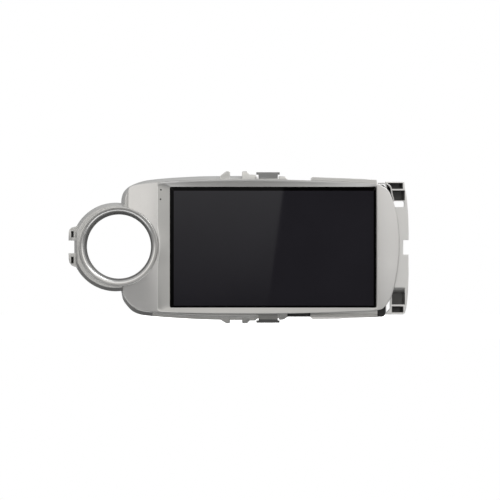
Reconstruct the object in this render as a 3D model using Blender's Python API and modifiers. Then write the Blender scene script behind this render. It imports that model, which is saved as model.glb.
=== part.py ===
"""In-dash touchscreen head unit in its silver fascia frame with a round vent collar.

The front faces -Y, +X is to the right and +Z is up.  Helpers take millimetres, with y counted
from the front plane to the back, and place everything in metres round the centre of the object.
"""

import math

import bmesh
import bpy

MM = 0.001
DEPTH = 62.0  # front plane to the tips of the aerial sockets
GAP = 0.3  # clearance between touching pieces

# Vent collar and the round end of the frame
RING_X, RING_Z = -120.2, 1.5
RING_BORE, RING_OUTER, RING_TUBE, RING_DEPTH = 32.2, 39.9, 36.0, 21.0
ROUND_X, ROUND_Z, ROUND_R = -123.5, 1.0, 44.5
LEFT_FLAT = -165.0
LEFT_END, RIGHT_END = -170.4, 170.4

# Screen window and what sits behind it (left, right, bottom, top)
WINDOW = (-68.8, 137.8, -59.7, 61.3)
GLASS = (-69.8, 138.8, -60.7, 62.3)
TRAY = (-69.6, 138.6, -60.5, 62.1)
PANEL = (-68.7, 137.7, -59.6, 61.2)
GLASS_Y, TOUCH_Y = (3.3, 4.4), (4.7, 5.3)
PANEL_Y, LIGHT_Y, TRAY_Y = (5.7, 7.3), (7.6, 10.6), (5.6, 11.4)

# Layers of the fascia
BEZEL_BACK = 8.0
PLATE_Y = (8.3, 11.4)
FRAME_BACK = 24.0

# Black display housing and steel rear chassis
HOUSING = (-82.5, 147.3, -69.0, 63.6)
HOUSING_Y = (11.7, 24.0)
CHASSIS = (-54.5, 123.5, -52.0, 48.0)
CHASSIS_Y = (24.3, 58.0)
SHEET = 1.0
BOARD = (-50.0, 119.0, -47.5, 43.5)
BOARD_Y = (30.0, 31.6)
PARTS_Y = BOARD_Y[1] + GAP

# Pinholes for the microphone and the reset button
MIC_AT, RESET_AT = (-77.6, 58.2), (-78.0, 48.8)
PINHOLE_R = 0.8
RESET_TRAVEL = 0.4

# Spring clips that grip the dash opening
CLIP_X = (20.0, 39.4)
CLIP_ROOT_Y = 10.0
UPPER_ROOT_Z, LOWER_ROOT_Z = 69.0, -70.9
UPPER_RISE, LOWER_RISE = 6.6, 3.7

FAN_AT = (88.0, -2.0)
FAN_Y = (46.4, 56.4)

# Outline of the front bezel, clockwise from the tip of the upper horn
BEZEL_LEFT_TOP = [(-110.5, 30.0), (-110.5, 56.0), (-109.6, 60.3), (-106.6, 62.3)]
BEZEL_TOP = [(-98.5, 64.0), (-78.5, 65.8), (-38.5, 68.2), (11.5, 69.0), (61.5, 68.0), (111.5, 66.0)]
BEZEL_RIGHT = [(137.5, 64.0), (144.5, 61.6), (150.0, 57.5), (153.5, 50.5), (156.5, 41.0), (159.4, 26.0)]
BEZEL_RIGHT += [(161.0, 4.0), (159.8, -16.0), (157.5, -31.0), (154.3, -45.0), (151.0, -52.5)]
BEZEL_FOOT = [(146.5, -58.5), (139.5, -62.0), (111.5, -63.6), (61.5, -65.4), (11.5, -65.8), (-38.5, -65.4)]
BEZEL_FOOT += [(-78.5, -64.0), (-95.0, -62.2), (-104.0, -59.6), (-110.3, -54.6), (-116.0, -45.5)]
BEZEL_LEFT_FOOT = [(-116.0, -30.0), (-100.0, -20.0), (-100.0, 20.0)]

# Outline of the wing of the frame behind the bezel, clockwise from the collar
WING_TOP = [(-118.0, 45.0), (-117.6, 50.0), (-115.9, 55.4), (-112.3, 59.9), (-107.5, 63.0), (-98.5, 66.5)]
WING_TOP += [(-88.5, 68.5), (-68.5, 70.4), (-38.5, 72.0), (-8.5, 72.4), (17.5, 72.5)]
WING_FOOT = [(17.5, -72.5), (-8.5, -72.4), (-38.5, -71.6), (-68.5, -69.9), (-88.5, -68.3), (-98.5, -66.8)]
WING_FOOT += [(-106.5, -63.4), (-112.3, -57.6), (-116.2, -51.6), (-118.0, -43.0)]


def start_scene():
    for obj in list(bpy.data.objects):
        bpy.data.objects.remove(obj)
    folders = {}
    for name in ("head_unit", "cutters"):
        folders[name] = bpy.data.collections.new(name)
        bpy.context.scene.collection.children.link(folders[name])
    folders["cutters"].hide_render = True
    return folders


FOLDERS = start_scene()
PARTS, CUTTERS = FOLDERS["head_unit"], FOLDERS["cutters"]


def material(name, colour, roughness, metallic=0.0):
    made = bpy.data.materials.new(name)
    made.use_nodes = True
    shader = made.node_tree.nodes["Principled BSDF"]
    shader.inputs["Base Color"].default_value = (*colour, 1.0)
    shader.inputs["Roughness"].default_value = roughness
    shader.inputs["Metallic"].default_value = metallic
    made.diffuse_color = (*colour, 1.0)
    return made


SILVER = material("silver_paint", (0.52, 0.52, 0.50), 0.34, 0.35)
SILVER_FACE = material("silver_face_paint", (0.56, 0.55, 0.53), 0.32, 0.35)
SPRING = material("spring_steel", (0.30, 0.30, 0.30), 0.38, 0.9)
GLASS_BLACK = material("tinted_glass", (0.012, 0.012, 0.014), 0.05)
TOUCH = material("touch_film", (0.05, 0.05, 0.06), 0.2)
LCD = material("lcd_black", (0.015, 0.015, 0.02), 0.15)
WHITE = material("white_plastic", (0.75, 0.75, 0.72), 0.5)
BLACK = material("black_plastic", (0.015, 0.015, 0.015), 0.55)
ZINC = material("zinc_steel", (0.55, 0.56, 0.57), 0.35, 0.9)
BOARD_GREEN = material("board_green", (0.02, 0.12, 0.05), 0.5)
AMBER = material("flex_amber", (0.55, 0.25, 0.05), 0.4)
ALU = material("aluminium", (0.70, 0.71, 0.72), 0.35, 0.95)
CHIP = material("chip_black", (0.02, 0.02, 0.02), 0.45)
TIN = material("tin_shield", (0.65, 0.65, 0.66), 0.3, 0.95)
BRASS = material("gold_plated_brass", (0.75, 0.55, 0.22), 0.3, 1.0)
DARK_SCREW = material("black_zinc_screw", (0.05, 0.05, 0.055), 0.35, 0.9)


def world_y(y):
    return (y - DEPTH / 2) * MM


def keep(obj, colour):
    obj.data.materials.clear()
    if colour is None:
        CUTTERS.objects.link(obj)
        obj.hide_render = True
        obj.display_type = "WIRE"
    else:
        PARTS.objects.link(obj)
        obj.data.materials.append(colour)
        obj.data.shade_smooth()
        obj.data.set_sharp_from_angle(angle=math.radians(32))
    return obj


TURN = {"XZ": (math.pi / 2, 0, 0), "YZ": (math.pi / 2, 0, math.pi / 2), "XY": (0, 0, 0)}


def prism(name, outlines, low, high, colour=None, plane="XZ", origin=(0.0, 0.0)):
    """A flat outline, with any holes after it, given thickness from low to high across its plane."""
    curve = bpy.data.curves.new(name, "CURVE")
    curve.dimensions = "2D"
    curve.fill_mode = "BOTH"
    curve.extrude = (high - low) / 2 * MM
    shift = DEPTH / 2 if plane == "XY" else 0.0
    for outline in outlines:
        spline = curve.splines.new("POLY")
        spline.points.add(len(outline) - 1)
        for point, (u, v) in zip(spline.points, outline):
            point.co = ((u - origin[0]) * MM, (v - origin[1] - shift) * MM, 0, 1)
        spline.use_cyclic_u = True
    guide = bpy.data.objects.new(name + "_outline", curve)
    guide.rotation_euler = TURN[plane]
    middle = (low + high) / 2
    if plane == "XZ":
        guide.location = (origin[0] * MM, world_y(middle), origin[1] * MM)
    elif plane == "YZ":
        guide.location = (middle * MM, world_y(origin[0]), origin[1] * MM)
    else:
        guide.location = (0, 0, middle * MM)
    CUTTERS.objects.link(guide)
    bpy.context.view_layer.update()
    graph = bpy.context.evaluated_depsgraph_get()
    mesh = bpy.data.meshes.new_from_object(guide.evaluated_get(graph))
    mesh.name = name
    solid = bmesh.new()
    solid.from_mesh(mesh)
    bmesh.ops.remove_doubles(solid, verts=solid.verts, dist=1e-6)
    bmesh.ops.dissolve_limit(solid, angle_limit=0.01, verts=solid.verts, edges=solid.edges)
    bmesh.ops.recalc_face_normals(solid, faces=solid.faces)
    solid.to_mesh(mesh)
    solid.free()
    obj = bpy.data.objects.new(name, mesh)
    obj.matrix_world = guide.matrix_world
    bpy.data.objects.remove(guide)
    return keep(obj, colour)


def rounded(box, radius=0.0, steps=4):
    """Outline of a rectangle (left, right, bottom, top) with round corners."""
    x0, x1, z0, z1 = box
    if radius <= 0:
        return [(x0, z0), (x1, z0), (x1, z1), (x0, z1)]
    corners = [(x1 - radius, z1 - radius), (x0 + radius, z1 - radius)]
    corners += [(x0 + radius, z0 + radius), (x1 - radius, z0 + radius)]
    points = []
    for quarter, (cx, cz) in enumerate(corners):
        for step in range(steps + 1):
            angle = math.pi / 2 * (quarter + step / steps)
            points.append((cx + radius * math.cos(angle), cz + radius * math.sin(angle)))
    return points


def circle(x, z, radius, count=24, start=0.0):
    turn = [start + 2 * math.pi * i / count for i in range(count)]
    return [(x + radius * math.cos(a), z + radius * math.sin(a)) for a in turn]


def flowing(points, steps=3):
    """Extra points on a Catmull-Rom curve through an open run of points."""
    made = []
    for i in range(len(points) - 1):
        p = [points[max(i - 1, 0)], points[i], points[i + 1], points[min(i + 2, len(points) - 1)]]
        for step in range(steps):
            t = step / steps
            w = (-t + 2 * t**2 - t**3, 2 - 5 * t**2 + 3 * t**3, t + 4 * t**2 - 3 * t**3, t**3 - t**2)
            made.append(tuple(sum(w[k] * p[k][axis] for k in range(4)) / 2 for axis in (0, 1)))
    return made + [points[-1]]


def grown(outline, by):
    """The outline moved outward by a distance, square to its own direction."""
    area = sum(a[0] * b[1] - b[0] * a[1] for a, b in zip(outline, outline[1:] + outline[:1]))
    side = by if area > 0 else -by
    made = []
    for i, (x, z) in enumerate(outline):
        ax, az = outline[i - 1]
        bx, bz = outline[(i + 1) % len(outline)]
        run = math.hypot(bx - ax, bz - az)
        made.append((x + side * (bz - az) / run, z - side * (bx - ax) / run))
    return made


def block(name, x, y, z, colour=None):
    """A box between two values on each axis."""
    solid = bmesh.new()
    bmesh.ops.create_cube(solid, size=1.0)
    size = [(b - a) * MM for a, b in (x, y, z)]
    bmesh.ops.scale(solid, vec=size, verts=solid.verts)
    mesh = bpy.data.meshes.new(name)
    solid.to_mesh(mesh)
    solid.free()
    obj = bpy.data.objects.new(name, mesh)
    obj.location = (sum(x) / 2 * MM, world_y(sum(y) / 2), sum(z) / 2 * MM)
    return keep(obj, colour)


def rod(name, at, radius, y, colour=None, count=20):
    return prism(name, [circle(*at, radius, count)], *y, colour, origin=at)


def turned(name, at, profile, closed, colour, steps=32):
    """A profile of (radius, y) turned round a line along Y.  Outer side front to back comes first."""
    mesh = bpy.data.meshes.new(name)
    edges = [(i, i + 1) for i in range(len(profile) - 1)]
    if closed:
        edges.append((len(profile) - 1, 0))
    y0 = profile[0][1]
    mesh.from_pydata([(r * MM, 0, (y0 - y) * MM) for r, y in profile], edges, [])
    obj = bpy.data.objects.new(name, mesh)
    obj.rotation_euler = (math.pi / 2, 0, 0)
    obj.location = (at[0] * MM, world_y(y0), at[1] * MM)
    screw = obj.modifiers.new("turn", "SCREW")
    screw.steps = steps
    screw.render_steps = steps
    screw.use_merge_vertices = True
    screw.merge_threshold = 0.00001
    screw.use_smooth_shade = True
    return keep(obj, colour)


def combine(target, other, how):
    modifier = target.modifiers.new(how.lower() + "_" + other.name, "BOOLEAN")
    modifier.operation = how
    modifier.solver = "EXACT"
    modifier.object = other
    return target


def cut(target, *cutters):
    for cutter in cutters:
        combine(target, cutter, "DIFFERENCE")
    return target


def join(target, *others):
    for other in others:
        combine(target, other, "UNION")
    return target


def close_slivers(solid):
    """Welds points a few thousandths of a millimetre apart and closes hairline gaps along long edges."""
    bmesh.ops.remove_doubles(solid, verts=solid.verts, dist=0.004 * MM)
    bmesh.ops.dissolve_degenerate(solid, edges=solid.edges, dist=0.004 * MM)
    rims = [edge for edge in solid.edges if len(edge.link_faces) == 1]
    if rims:
        bmesh.ops.holes_fill(solid, edges=rims, sides=4)
        bmesh.ops.recalc_face_normals(solid, faces=solid.faces)


def settle(obj):
    """Keeps the result of the modifiers as the object's own mesh."""
    bpy.context.view_layer.update()
    graph = bpy.context.evaluated_depsgraph_get()
    mesh = bpy.data.meshes.new_from_object(obj.evaluated_get(graph))
    solid = bmesh.new()
    solid.from_mesh(mesh)
    close_slivers(solid)
    solid.to_mesh(mesh)
    solid.free()
    obj.modifiers.clear()
    obj.data = mesh
    return obj


def chamfer_front(obj, y, width, segments=1):
    """Cuts back the rim of the face that lies in the plane y."""
    solid = bmesh.new()
    solid.from_mesh(obj.data)
    level = world_y(y)
    rim = []
    for edge in solid.edges:
        flat = all(abs((obj.matrix_world @ v.co).y - level) < 1e-6 for v in edge.verts)
        if flat and len(edge.link_faces) == 2 and edge.calc_face_angle(0) > 0.5:
            rim.append(edge)
    bmesh.ops.bevel(solid, geom=rim, offset=width * MM, segments=segments, profile=0.5, affect="EDGES")
    solid.to_mesh(obj.data)
    solid.free()
    return obj


# ---------------------------------------------------------------- fascia


def bezel_outline():
    top = flowing(BEZEL_LEFT_TOP[1:] + BEZEL_TOP + BEZEL_RIGHT + BEZEL_FOOT, 3)
    return [BEZEL_LEFT_TOP[0]] + top + BEZEL_LEFT_FOOT


def bezel_sink(x, z):
    """How far the front of the bezel lies behind the front plane, in millimetres."""
    wing = min(max((-79.0 - x) / 18.0, 0.0), 1.0)
    crown = (1.3 + 2.6 * wing) * abs((z - 1.0) / 66.0) ** 2.2
    left = 1.1 * max(-81.0 - x, 0.0) / 35.0
    right = 1.0 * min(max((x - 60.0) / 80.0, 0.0), 1.0) + 3.2 * (max(x - 139.0, 0.0) / 22.0) ** 1.5
    return crown + left + right


def crown_bezel(obj):
    """Adds lines to the flat front, then sinks it by bezel_sink."""
    solid = bmesh.new()
    solid.from_mesh(obj.data)
    solid.transform(obj.matrix_world)
    lines = [((x * MM, 0, 0), (1, 0, 0)) for x in (-103, -95, -88, -81, -79, 0, 60, 139, 145, 151, 156)]
    lines += [((0, 0, z * MM), (0, 0, 1)) for z in (-56, -45, -32, -16, 1, 18, 34, 46, 57)]
    for point, normal in lines:
        everything = solid.verts[:] + solid.edges[:] + solid.faces[:]
        bmesh.ops.bisect_plane(solid, geom=everything, dist=1e-7, plane_co=point, plane_no=normal)
    for vert in solid.verts:
        y = vert.co.y / MM + DEPTH / 2
        weight = min(max(1 - y / 2.2, 0.0), 1.0)
        vert.co.y += weight * bezel_sink(vert.co.x / MM, vert.co.z / MM) * MM
    bmesh.ops.triangulate(solid, faces=solid.faces)
    close_slivers(solid)
    solid.transform(obj.matrix_world.inverted())
    solid.to_mesh(obj.data)
    solid.free()
    obj.data.shade_smooth()
    obj.data.set_sharp_from_angle(angle=math.radians(25))
    return obj


def window_reveal():
    """The sloping recess round the screen: wide at the front plane, window size at the lip."""
    x0, x1, z0, z1 = WINDOW
    front = (x0 - 11.6, x1 + 1.6, z0 - 5.0, z1 + 5.6)
    solid = bmesh.new()
    rings = []
    for box, y in ((front, -1.0), (front, 0.0), (WINDOW, 2.3), (WINDOW, 12.0)):
        ring = [solid.verts.new((u * MM, world_y(y), v * MM)) for u, v in rounded(box, 1.6, 3)]
        rings.append(ring)
    for a, b in zip(rings, rings[1:]):
        for i in range(len(a)):
            j = (i + 1) % len(a)
            solid.faces.new((a[i], a[j], b[j], b[i]))
    solid.faces.new(rings[0])
    solid.faces.new(rings[-1])
    bmesh.ops.recalc_face_normals(solid, faces=solid.faces)
    mesh = bpy.data.meshes.new("window_reveal")
    solid.to_mesh(mesh)
    solid.free()
    return keep(bpy.data.objects.new("window_reveal", mesh), None)


def make_bezel():
    bezel = prism("front_bezel", [bezel_outline()], 0.0, BEZEL_BACK, SILVER_FACE)
    chamfer_front(bezel, 0.0, 0.9)
    x0, x1, z0, z1 = GLASS
    room = (x0 - 0.35, x1 + 0.35, z0 - 0.35, z1 + 0.35)
    cut(bezel, rod("ring_clearance", (RING_X, RING_Z), RING_OUTER + GAP, (-5, 30), count=64))
    cut(bezel, window_reveal())
    cut(bezel, prism("glass_pocket", [rounded(room, 2.0)], 3.0, 12.0))
    cut(bezel, rod("mic_hole", MIC_AT, PINHOLE_R, (-5, 30), count=12))
    cut(bezel, rod("reset_hole", RESET_AT, PINHOLE_R, (-5, 30), count=12))
    crown_bezel(settle(bezel))


def ring_end():
    """The round end of the frame, cut flat on its left."""
    half = math.acos((ROUND_X - LEFT_FLAT) / ROUND_R)
    turns = [math.pi + half + (2 * math.pi - 2 * half) * i / 52 for i in range(53)]
    outline = [(ROUND_X + ROUND_R * math.cos(a), ROUND_Z + ROUND_R * math.sin(a)) for a in turns]
    end = prism("round_end", [outline], 2.2, FRAME_BACK)
    return chamfer_front(end, 2.2, 4.0, 2)


def clip_seat(name, sign, root_z):
    """The shelf and the two cheeks that hold one spring clip."""
    inner, outer = (66.2, 68.2) if sign > 0 else (-69.1, -70.5)
    shelf = block(name, (16.0, 43.0), (PLATE_Y[0] - 0.2, FRAME_BACK - 0.6), sorted((inner, outer)))
    foot = inner + sign * 0.5
    for tag, x in (("a", (17.4, 19.2)), ("b", (40.2, 42.0))):
        cheek = sorted((foot, outer + sign * 3.6))
        join(shelf, block(name + "_cheek_" + tag, x, (7.0, FRAME_BACK - 1.2), cheek))
    if sign > 0:
        join(shelf, block(name + "_root", (18.2, 40.8), (7.3, 8.9), (foot + 0.2, root_z + 0.4)))
    else:
        join(shelf, block(name + "_root", (15.0, 44.0), (PLATE_Y[0] - 0.1, PLATE_Y[1] + 0.2), (-70.2, -63.0)))
    return shelf


def hooks(sign):
    """The two snap hooks and the raised land beside the clip on one long side."""
    first = [(-19.5, 70.0), (-18.5, 72.2), (-14.3, 75.6), (-12.0, 77.0), (-9.4, 77.0), (-8.5, 76.2)]
    first += [(-8.5, 70.0)]
    second = [(3.5, 70.0), (3.5, 76.2), (4.4, 77.0), (8.6, 77.0), (11.5, 73.4), (11.5, 70.0)]
    land = [(10.5, 70.2), (10.5, 73.6), (17.2, 73.6), (17.2, 70.2)]
    made = []
    for tag, points in (("hook_a", first), ("hook_b", second), ("land", land)):
        outline = [(x, z if sign > 0 else -70.0 - (z - 70.0) * 0.8) for x, z in points]
        name = tag + ("_top" if sign > 0 else "_foot")
        made.append(prism(name, [outline], 9.0, 17.0 if tag == "land" else 18.0))
    return made


def lugs():
    upper = [(-158.0, 24.0), (-163.5, 21.6), (-167.6, 20.4), (-169.5, 18.4), (-170.2, 15.5)]
    upper += [(LEFT_END, 7.5), (-163.0, 7.5)]
    lower = [(-158.0, -22.0), (-163.0, -19.2), (-167.2, -17.6), (-169.4, -14.8), (-170.2, -11.0)]
    lower += [(LEFT_END, -5.2), (-163.0, -5.2)]
    made = []
    for tag, outline, slot in (("upper", upper, (10.6, 17.0)), ("lower", lower, (-15.4, -8.6))):
        lug = prism(tag + "_lug", [outline], 9.0, 19.0)
        made.append(cut(lug, block(tag + "_lug_slot", (-167.8, -165.2), (5.0, 17.2), slot)))
    return made


def rails():
    top = [(72.4, 60.0), (72.4, 69.6), (74.0, 71.2), (105.0, 70.0), (122.0, 69.3), (138.6, 68.4)]
    top += [(138.6, 60.0)]
    foot = [(72.0, -60.0), (72.0, -69.2), (74.0, -71.4), (100.0, -71.0), (112.0, -70.2), (139.2, -69.4)]
    foot += [(139.2, -60.0)]
    block_top = [(41.0, 64.0), (41.0, 72.0), (46.4, 71.8), (49.0, 69.2), (49.0, 64.0)]
    block_foot = [(41.0, -63.0), (41.0, -72.2), (45.8, -71.6), (49.0, -69.2), (49.0, -63.0)]
    slope = [(0.0, -60.0), (8.6, -60.0), (8.6, -65.6), (5.4, -69.2), (0.0, -69.2)]
    lower = prism("lower_rail", [foot], 5.4, 11.0)
    cut(lower, prism("rail_slope", [slope], 70.0, 142.0, plane="YZ"))
    made = [prism("upper_rail", [top], 5.4, 11.0), lower]
    made.append(prism("upper_stop", [block_top], 6.0, FRAME_BACK - 2.0))
    made.append(prism("lower_stop", [block_foot], 6.0, 10.8))
    return made


def flange():
    """The end flange on the right, with its notch, pockets and windows, and the rib round the corner."""
    edge = [(166.0, 66.5), (166.8, 60.0), (168.2, 53.0), (169.0, 46.0), (170.0, 33.0), (RIGHT_END, 18.0)]
    notch = [(RIGHT_END, 8.0), (165.0, 8.0), (165.0, -6.5), (RIGHT_END, -6.5)]
    lower = [(RIGHT_END, -26.0), (169.9, -42.0), (169.2, -51.0), (168.4, -57.5), (167.4, -62.5)]
    lower += [(166.3, -65.4), (164.6, -66.5)]
    outline = edge + notch + lower + [(147.6, -66.5), (147.6, 66.5)]
    end = prism("end_flange", [outline], 7.5, FRAME_BACK - 0.4)
    pockets = (("a", 148.6, 164.7, (59.2, 65.3)), ("b", 153.2, 166.6, (47.6, 57.7)))
    pockets += (("c", 153.6, 166.8, (-56.6, -45.0)), ("d", 153.6, 165.2, (-64.6, -58.4)))
    for tag, x0, x1, z in pockets:
        side = [(x0, -5.0), (x1, -5.0), (x1, 8.0), (x1 - 2.6, 20.0), (x0, 20.0)]
        cut(end, prism("pocket_" + tag, [side], *z, plane="XY"))
    cut(end, block("pocket_e", (148.6, 152.8), (-5.0, 20.0), (51.0, 60.0)))
    scoop = [(5.0, -38.4), (7.4, -39.4), (10.5, -42.2), (14.5, -44.2), (19.8, -45.4), (5.0, -45.4)]
    cut(end, prism("pocket_ramp", [scoop], 153.6, 166.6, plane="YZ"))
    cut(end, block("sight_window", (155.0, 166.2), (-5, 30), (41.0, 47.1)))
    corner = [(152.0, -50.0), (148.0, -54.0), (148.0, -64.6), (148.7, -64.6), (152.0, -60.6)]
    cut(end, prism("corner_window", [corner], -5.0, 30.0))
    cut(end, block("rear_hollow_a", (151.2, 167.0), (PLATE_Y[1], 30), (11.0, 38.5)))
    cut(end, block("rear_hollow_b", (151.2, 162.6), (PLATE_Y[1], 30), (-9.0, 12.0)))
    cut(end, block("rear_hollow_c", (151.2, 167.0), (PLATE_Y[1], 30), (-36.5, -9.5)))
    rib = [(140.0, 65.3), (145.6, 65.5), (149.9, 64.3), (152.9, 61.2), (153.9, 57.0), (154.6, 53.0)]
    rib += [(156.2, 47.2), (155.0, 47.2), (153.3, 53.2), (152.6, 57.0), (151.7, 60.6), (149.2, 63.2)]
    rib += [(145.4, 64.4), (140.0, 64.2)]
    return join(end, prism("corner_rib", [rib], 4.6, 20.4))


def wing_hollow():
    """The space behind the wing, round the tube that holds the collar."""
    x0 = HOUSING[0] - 3.0
    edge = [(-112.6, -50.0), (-107.6, -58.6), (-98.0, -63.6), (x0, -65.8), (x0, 65.8), (-98.0, 63.4)]
    edge += [(-108.2, 59.2), (-113.4, 53.0), (-113.6, 40.0), (-113.6, -40.0)]
    hollow = prism("wing_hollow", [edge], PLATE_Y[1], 30.0)
    return cut(hollow, rod("tube_wall", (RING_X, RING_Z), RING_OUTER + 2.6, (0, 40), count=64))


HOUSING_SCREWS = [(-76.2, 30.0), (-76.2, -40.0), (143.4, 30.0), (143.4, -40.0)]
CHASSIS_SCREWS = [(-58.5, 52.0), (127.5, 52.0), (-58.5, -56.0), (127.5, -56.0)]
BOARD_SCREWS = [(-44.0, 37.0), (113.0, 37.0), (-44.0, -41.0), (113.0, -41.0)]


def make_carrier():
    outline = flowing(WING_TOP, 3) + flowing(WING_FOOT, 3)
    wing = prism("carrier_frame", [outline], 6.0, FRAME_BACK, SILVER)
    chamfer_front(wing, 6.0, 2.8, 2)
    plate = [(12.0, 67.3), (75.0, 66.6), (139.0, 63.0), (148.5, 56.5), (157.0, 30.0), (159.3, 2.0)]
    plate += [(156.5, -28.0), (149.0, -52.0), (138.0, -61.2), (75.0, -64.2), (12.0, -64.8)]
    join(wing, ring_end(), prism("web", [plate], PLATE_Y[0] - 0.3, PLATE_Y[1] + 0.3))
    join(wing, clip_seat("upper_seat", 1, UPPER_ROOT_Z), clip_seat("lower_seat", -1, LOWER_ROOT_Z))
    join(wing, *rails(), *hooks(1), *hooks(-1), *lugs())
    join(wing, flange())
    x0, x1, z0, z1 = HOUSING
    room = (x0 - 0.5, x1 + 0.5, z0 - 0.4, z1 + 0.4)
    cut(wing, block("housing_room", room[:2], (PLATE_Y[1], 30), room[2:]))
    cut(wing, wing_hollow())
    cut(wing, prism("bezel_seat", [grown(bezel_outline(), 0.4)], -5.0, PLATE_Y[0]))
    x0, x1, z0, z1 = TRAY
    opening = (x0 - 0.6, x1 + 0.6, z0 - 0.6, z1 + 0.6)
    cut(wing, prism("screen_opening", [rounded(opening, 1.5)], 0.0, 30.0))
    cut(wing, rod("collar_seat", (RING_X, RING_Z), RING_OUTER + GAP, (-5, PLATE_Y[0]), count=64))
    cut(wing, rod("collar_bore", (RING_X, RING_Z), RING_TUBE + GAP, (-4, 30), count=64))
    for i, at in enumerate((MIC_AT, RESET_AT)):
        cut(wing, rod("sense_hole_%d" % i, at, 2.6, (0, 13), count=16))
    for i, at in enumerate(HOUSING_SCREWS):
        cut(wing, rod("pilot_%d" % i, at, 1.8, (9.4, 13), count=16))
    settle(wing)


def make_ring():
    profile = [(39.4, 0.0), (RING_OUTER, 0.7), (RING_OUTER, BEZEL_BACK), (RING_TUBE, BEZEL_BACK)]
    profile += [(RING_TUBE, RING_DEPTH), (RING_BORE, RING_DEPTH), (RING_BORE, 18.4), (33.2, 17.6)]
    profile += [(34.6, 7.0), (35.7, 6.5), (37.9, 0.7), (38.5, 0.0)]
    turned("vent_ring", (RING_X, RING_Z), profile, True, SILVER, 72)


def make_clip(name, sign, root_z, rise):
    """A strip of spring steel bent to a V, held at the front, that yields toward the frame."""
    thick = 0.6
    middle = [(0.0, 0.0), (2.2, 1.0), (8.6, rise - 0.2), (11.2, rise), (16.0, 3.0), (17.6, 3.2)]
    if sign < 0:
        middle = [(-2.2, 0.0)] + middle
    side = [(y, z + thick) for y, z in middle] + [(y, z) for y, z in reversed(middle)]
    outline = [(CLIP_ROOT_Y + y, root_z + sign * z) for y, z in side]
    clip = prism(name, [outline], *CLIP_X, SPRING, plane="YZ", origin=(CLIP_ROOT_Y, root_z))
    centre = sum(CLIP_X) / 2
    if sign > 0:
        front = [(-0.8, 0.0), (1.0, 0.0), (1.0, thick), (-0.8, thick)]
        reach = (centre - 5, centre + 5)
    else:
        front = [(-2.8, -4.3), (-2.2, -4.3), (-2.2, 0.2), (-2.0, thick), (-2.8, thick)]
        reach = (CLIP_X[0] + 0.05, CLIP_X[1] - 0.05)
    foot = [(CLIP_ROOT_Y + y, root_z + sign * z) for y, z in front]
    join(clip, prism(name + "_front", [foot], *reach, plane="YZ"))
    settle(clip)


# ---------------------------------------------------------------- display


def make_display():
    prism("cover_glass", [rounded(GLASS, 1.8)], *GLASS_Y, GLASS_BLACK)
    prism("touch_sensor", [rounded(GLASS, 1.8)], *TOUCH_Y, TOUCH)
    prism("lcd_panel", [rounded(PANEL)], *PANEL_Y, LCD)
    prism("backlight_unit", [rounded(PANEL)], *LIGHT_Y, WHITE)
    tray = prism("display_tray", [rounded(TRAY, 0.8, 2)], *TRAY_Y, ZINC)
    x0, x1, z0, z1 = TRAY
    inside = (x0 + 0.6, x1 - 0.6, z0 + 0.6, z1 - 0.6)
    cut(tray, prism("tray_inside", [rounded(inside)], 0.0, TRAY_Y[1] - 0.5))
    cut(tray, block("tray_flex_slot", (20.0, 60.0), (5, 20), (-56.0, -52.0)))
    settle(tray)


def make_flexes():
    """Flat cables from the display, through the housing, to the main board."""
    for name, x in (("lcd_flex", (34.0, 54.0)), ("touch_flex", (24.0, 31.0))):
        side = [(12.0, -54.6), (14.3, -54.6), (14.3, -25.2), (29.6, -25.2)]
        side += [(29.6, -24.8), (13.9, -24.8), (13.9, -54.2), (12.0, -54.2)]
        prism(name, [side], *x, AMBER, plane="YZ")


def make_housing():
    housing = prism("display_housing", [rounded(HOUSING, 4.0)], *HOUSING_Y, BLACK)
    cut(housing, prism("housing_room_front", [rounded((-66.0, 135.0, -57.0, 58.0), 2.0)], 5.0, 22.0))
    cut(housing, prism("cable_window", [rounded((-30.0, 100.0, -30.0, 28.0), 3.0)], 5.0, 30.0))
    cut(housing, prism("sense_pocket", [rounded((-81.0, -73.4, 43.6, 61.8), 0.6, 2)], 5.0, 17.6))
    for i, at in enumerate(BOARD_SCREWS):
        join(housing, rod("post_%d" % i, at, 3.2, (22.4, BOARD_Y[0] - GAP), count=16))
        cut(housing, rod("post_bore_%d" % i, at, 1.6, (24.6, 40), count=12))
    for i, at in enumerate(HOUSING_SCREWS):
        cut(housing, rod("ear_hole_%d" % i, at, 1.8, (5, 30), count=16))
        cut(housing, rod("ear_sink_%d" % i, at, 4.0, (15.0, 30), count=16))
    for i, at in enumerate(CHASSIS_SCREWS):
        cut(housing, rod("chassis_pilot_%d" % i, at, 1.8, (22.6, 30), count=12))
    settle(housing)


def make_sense_board():
    board = prism("button_board", [rounded((-80.6, -73.8, 44.0, 61.4), 0.5, 2)], 16.2, 17.2, BOARD_GREEN)
    settle(board)
    turned("microphone", MIC_AT, [(0, 13.4), (2.0, 13.4), (2.0, 15.9), (0, 15.9)], False, ALU, 20)
    x, z = RESET_AT
    switch = block("reset_switch", (x - 1.8, x + 1.8), (13.6, 15.9), (z - 1.8, z + 1.8), CHIP)
    cut(switch, rod("switch_well", RESET_AT, 1.2, (10, 15.2), count=16))
    settle(switch)
    stem = [(0, 11.6), (0.9, 11.6), (0.9, 14.6), (0, 14.6)]
    turned("reset_button", RESET_AT, stem, False, WHITE, 16)


# ---------------------------------------------------------------- rear chassis


def screw(name, at, seat, length, head=2.8, shank=1.45, colour=ZINC):
    """A pan-head screw put in from the back: its head sits behind seat, its shank points forward."""
    profile = [(0, seat - length), (shank, seat - length), (shank, seat), (head, seat)]
    profile += [(head, seat + 1.2), (head * 0.72, seat + 1.9), (0, seat + 1.9)]
    piece = turned(name, at, profile, False, colour, 20)
    for i, (w, h) in enumerate(((head * 0.6, 0.3), (0.3, head * 0.6))):
        x, z = at
        recess = block(name + "_cross_%d" % i, (x - w, x + w), (seat + 1.0, seat + 3), (z - h, z + h))
        cut(piece, recess)
    return settle(piece)


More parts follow.
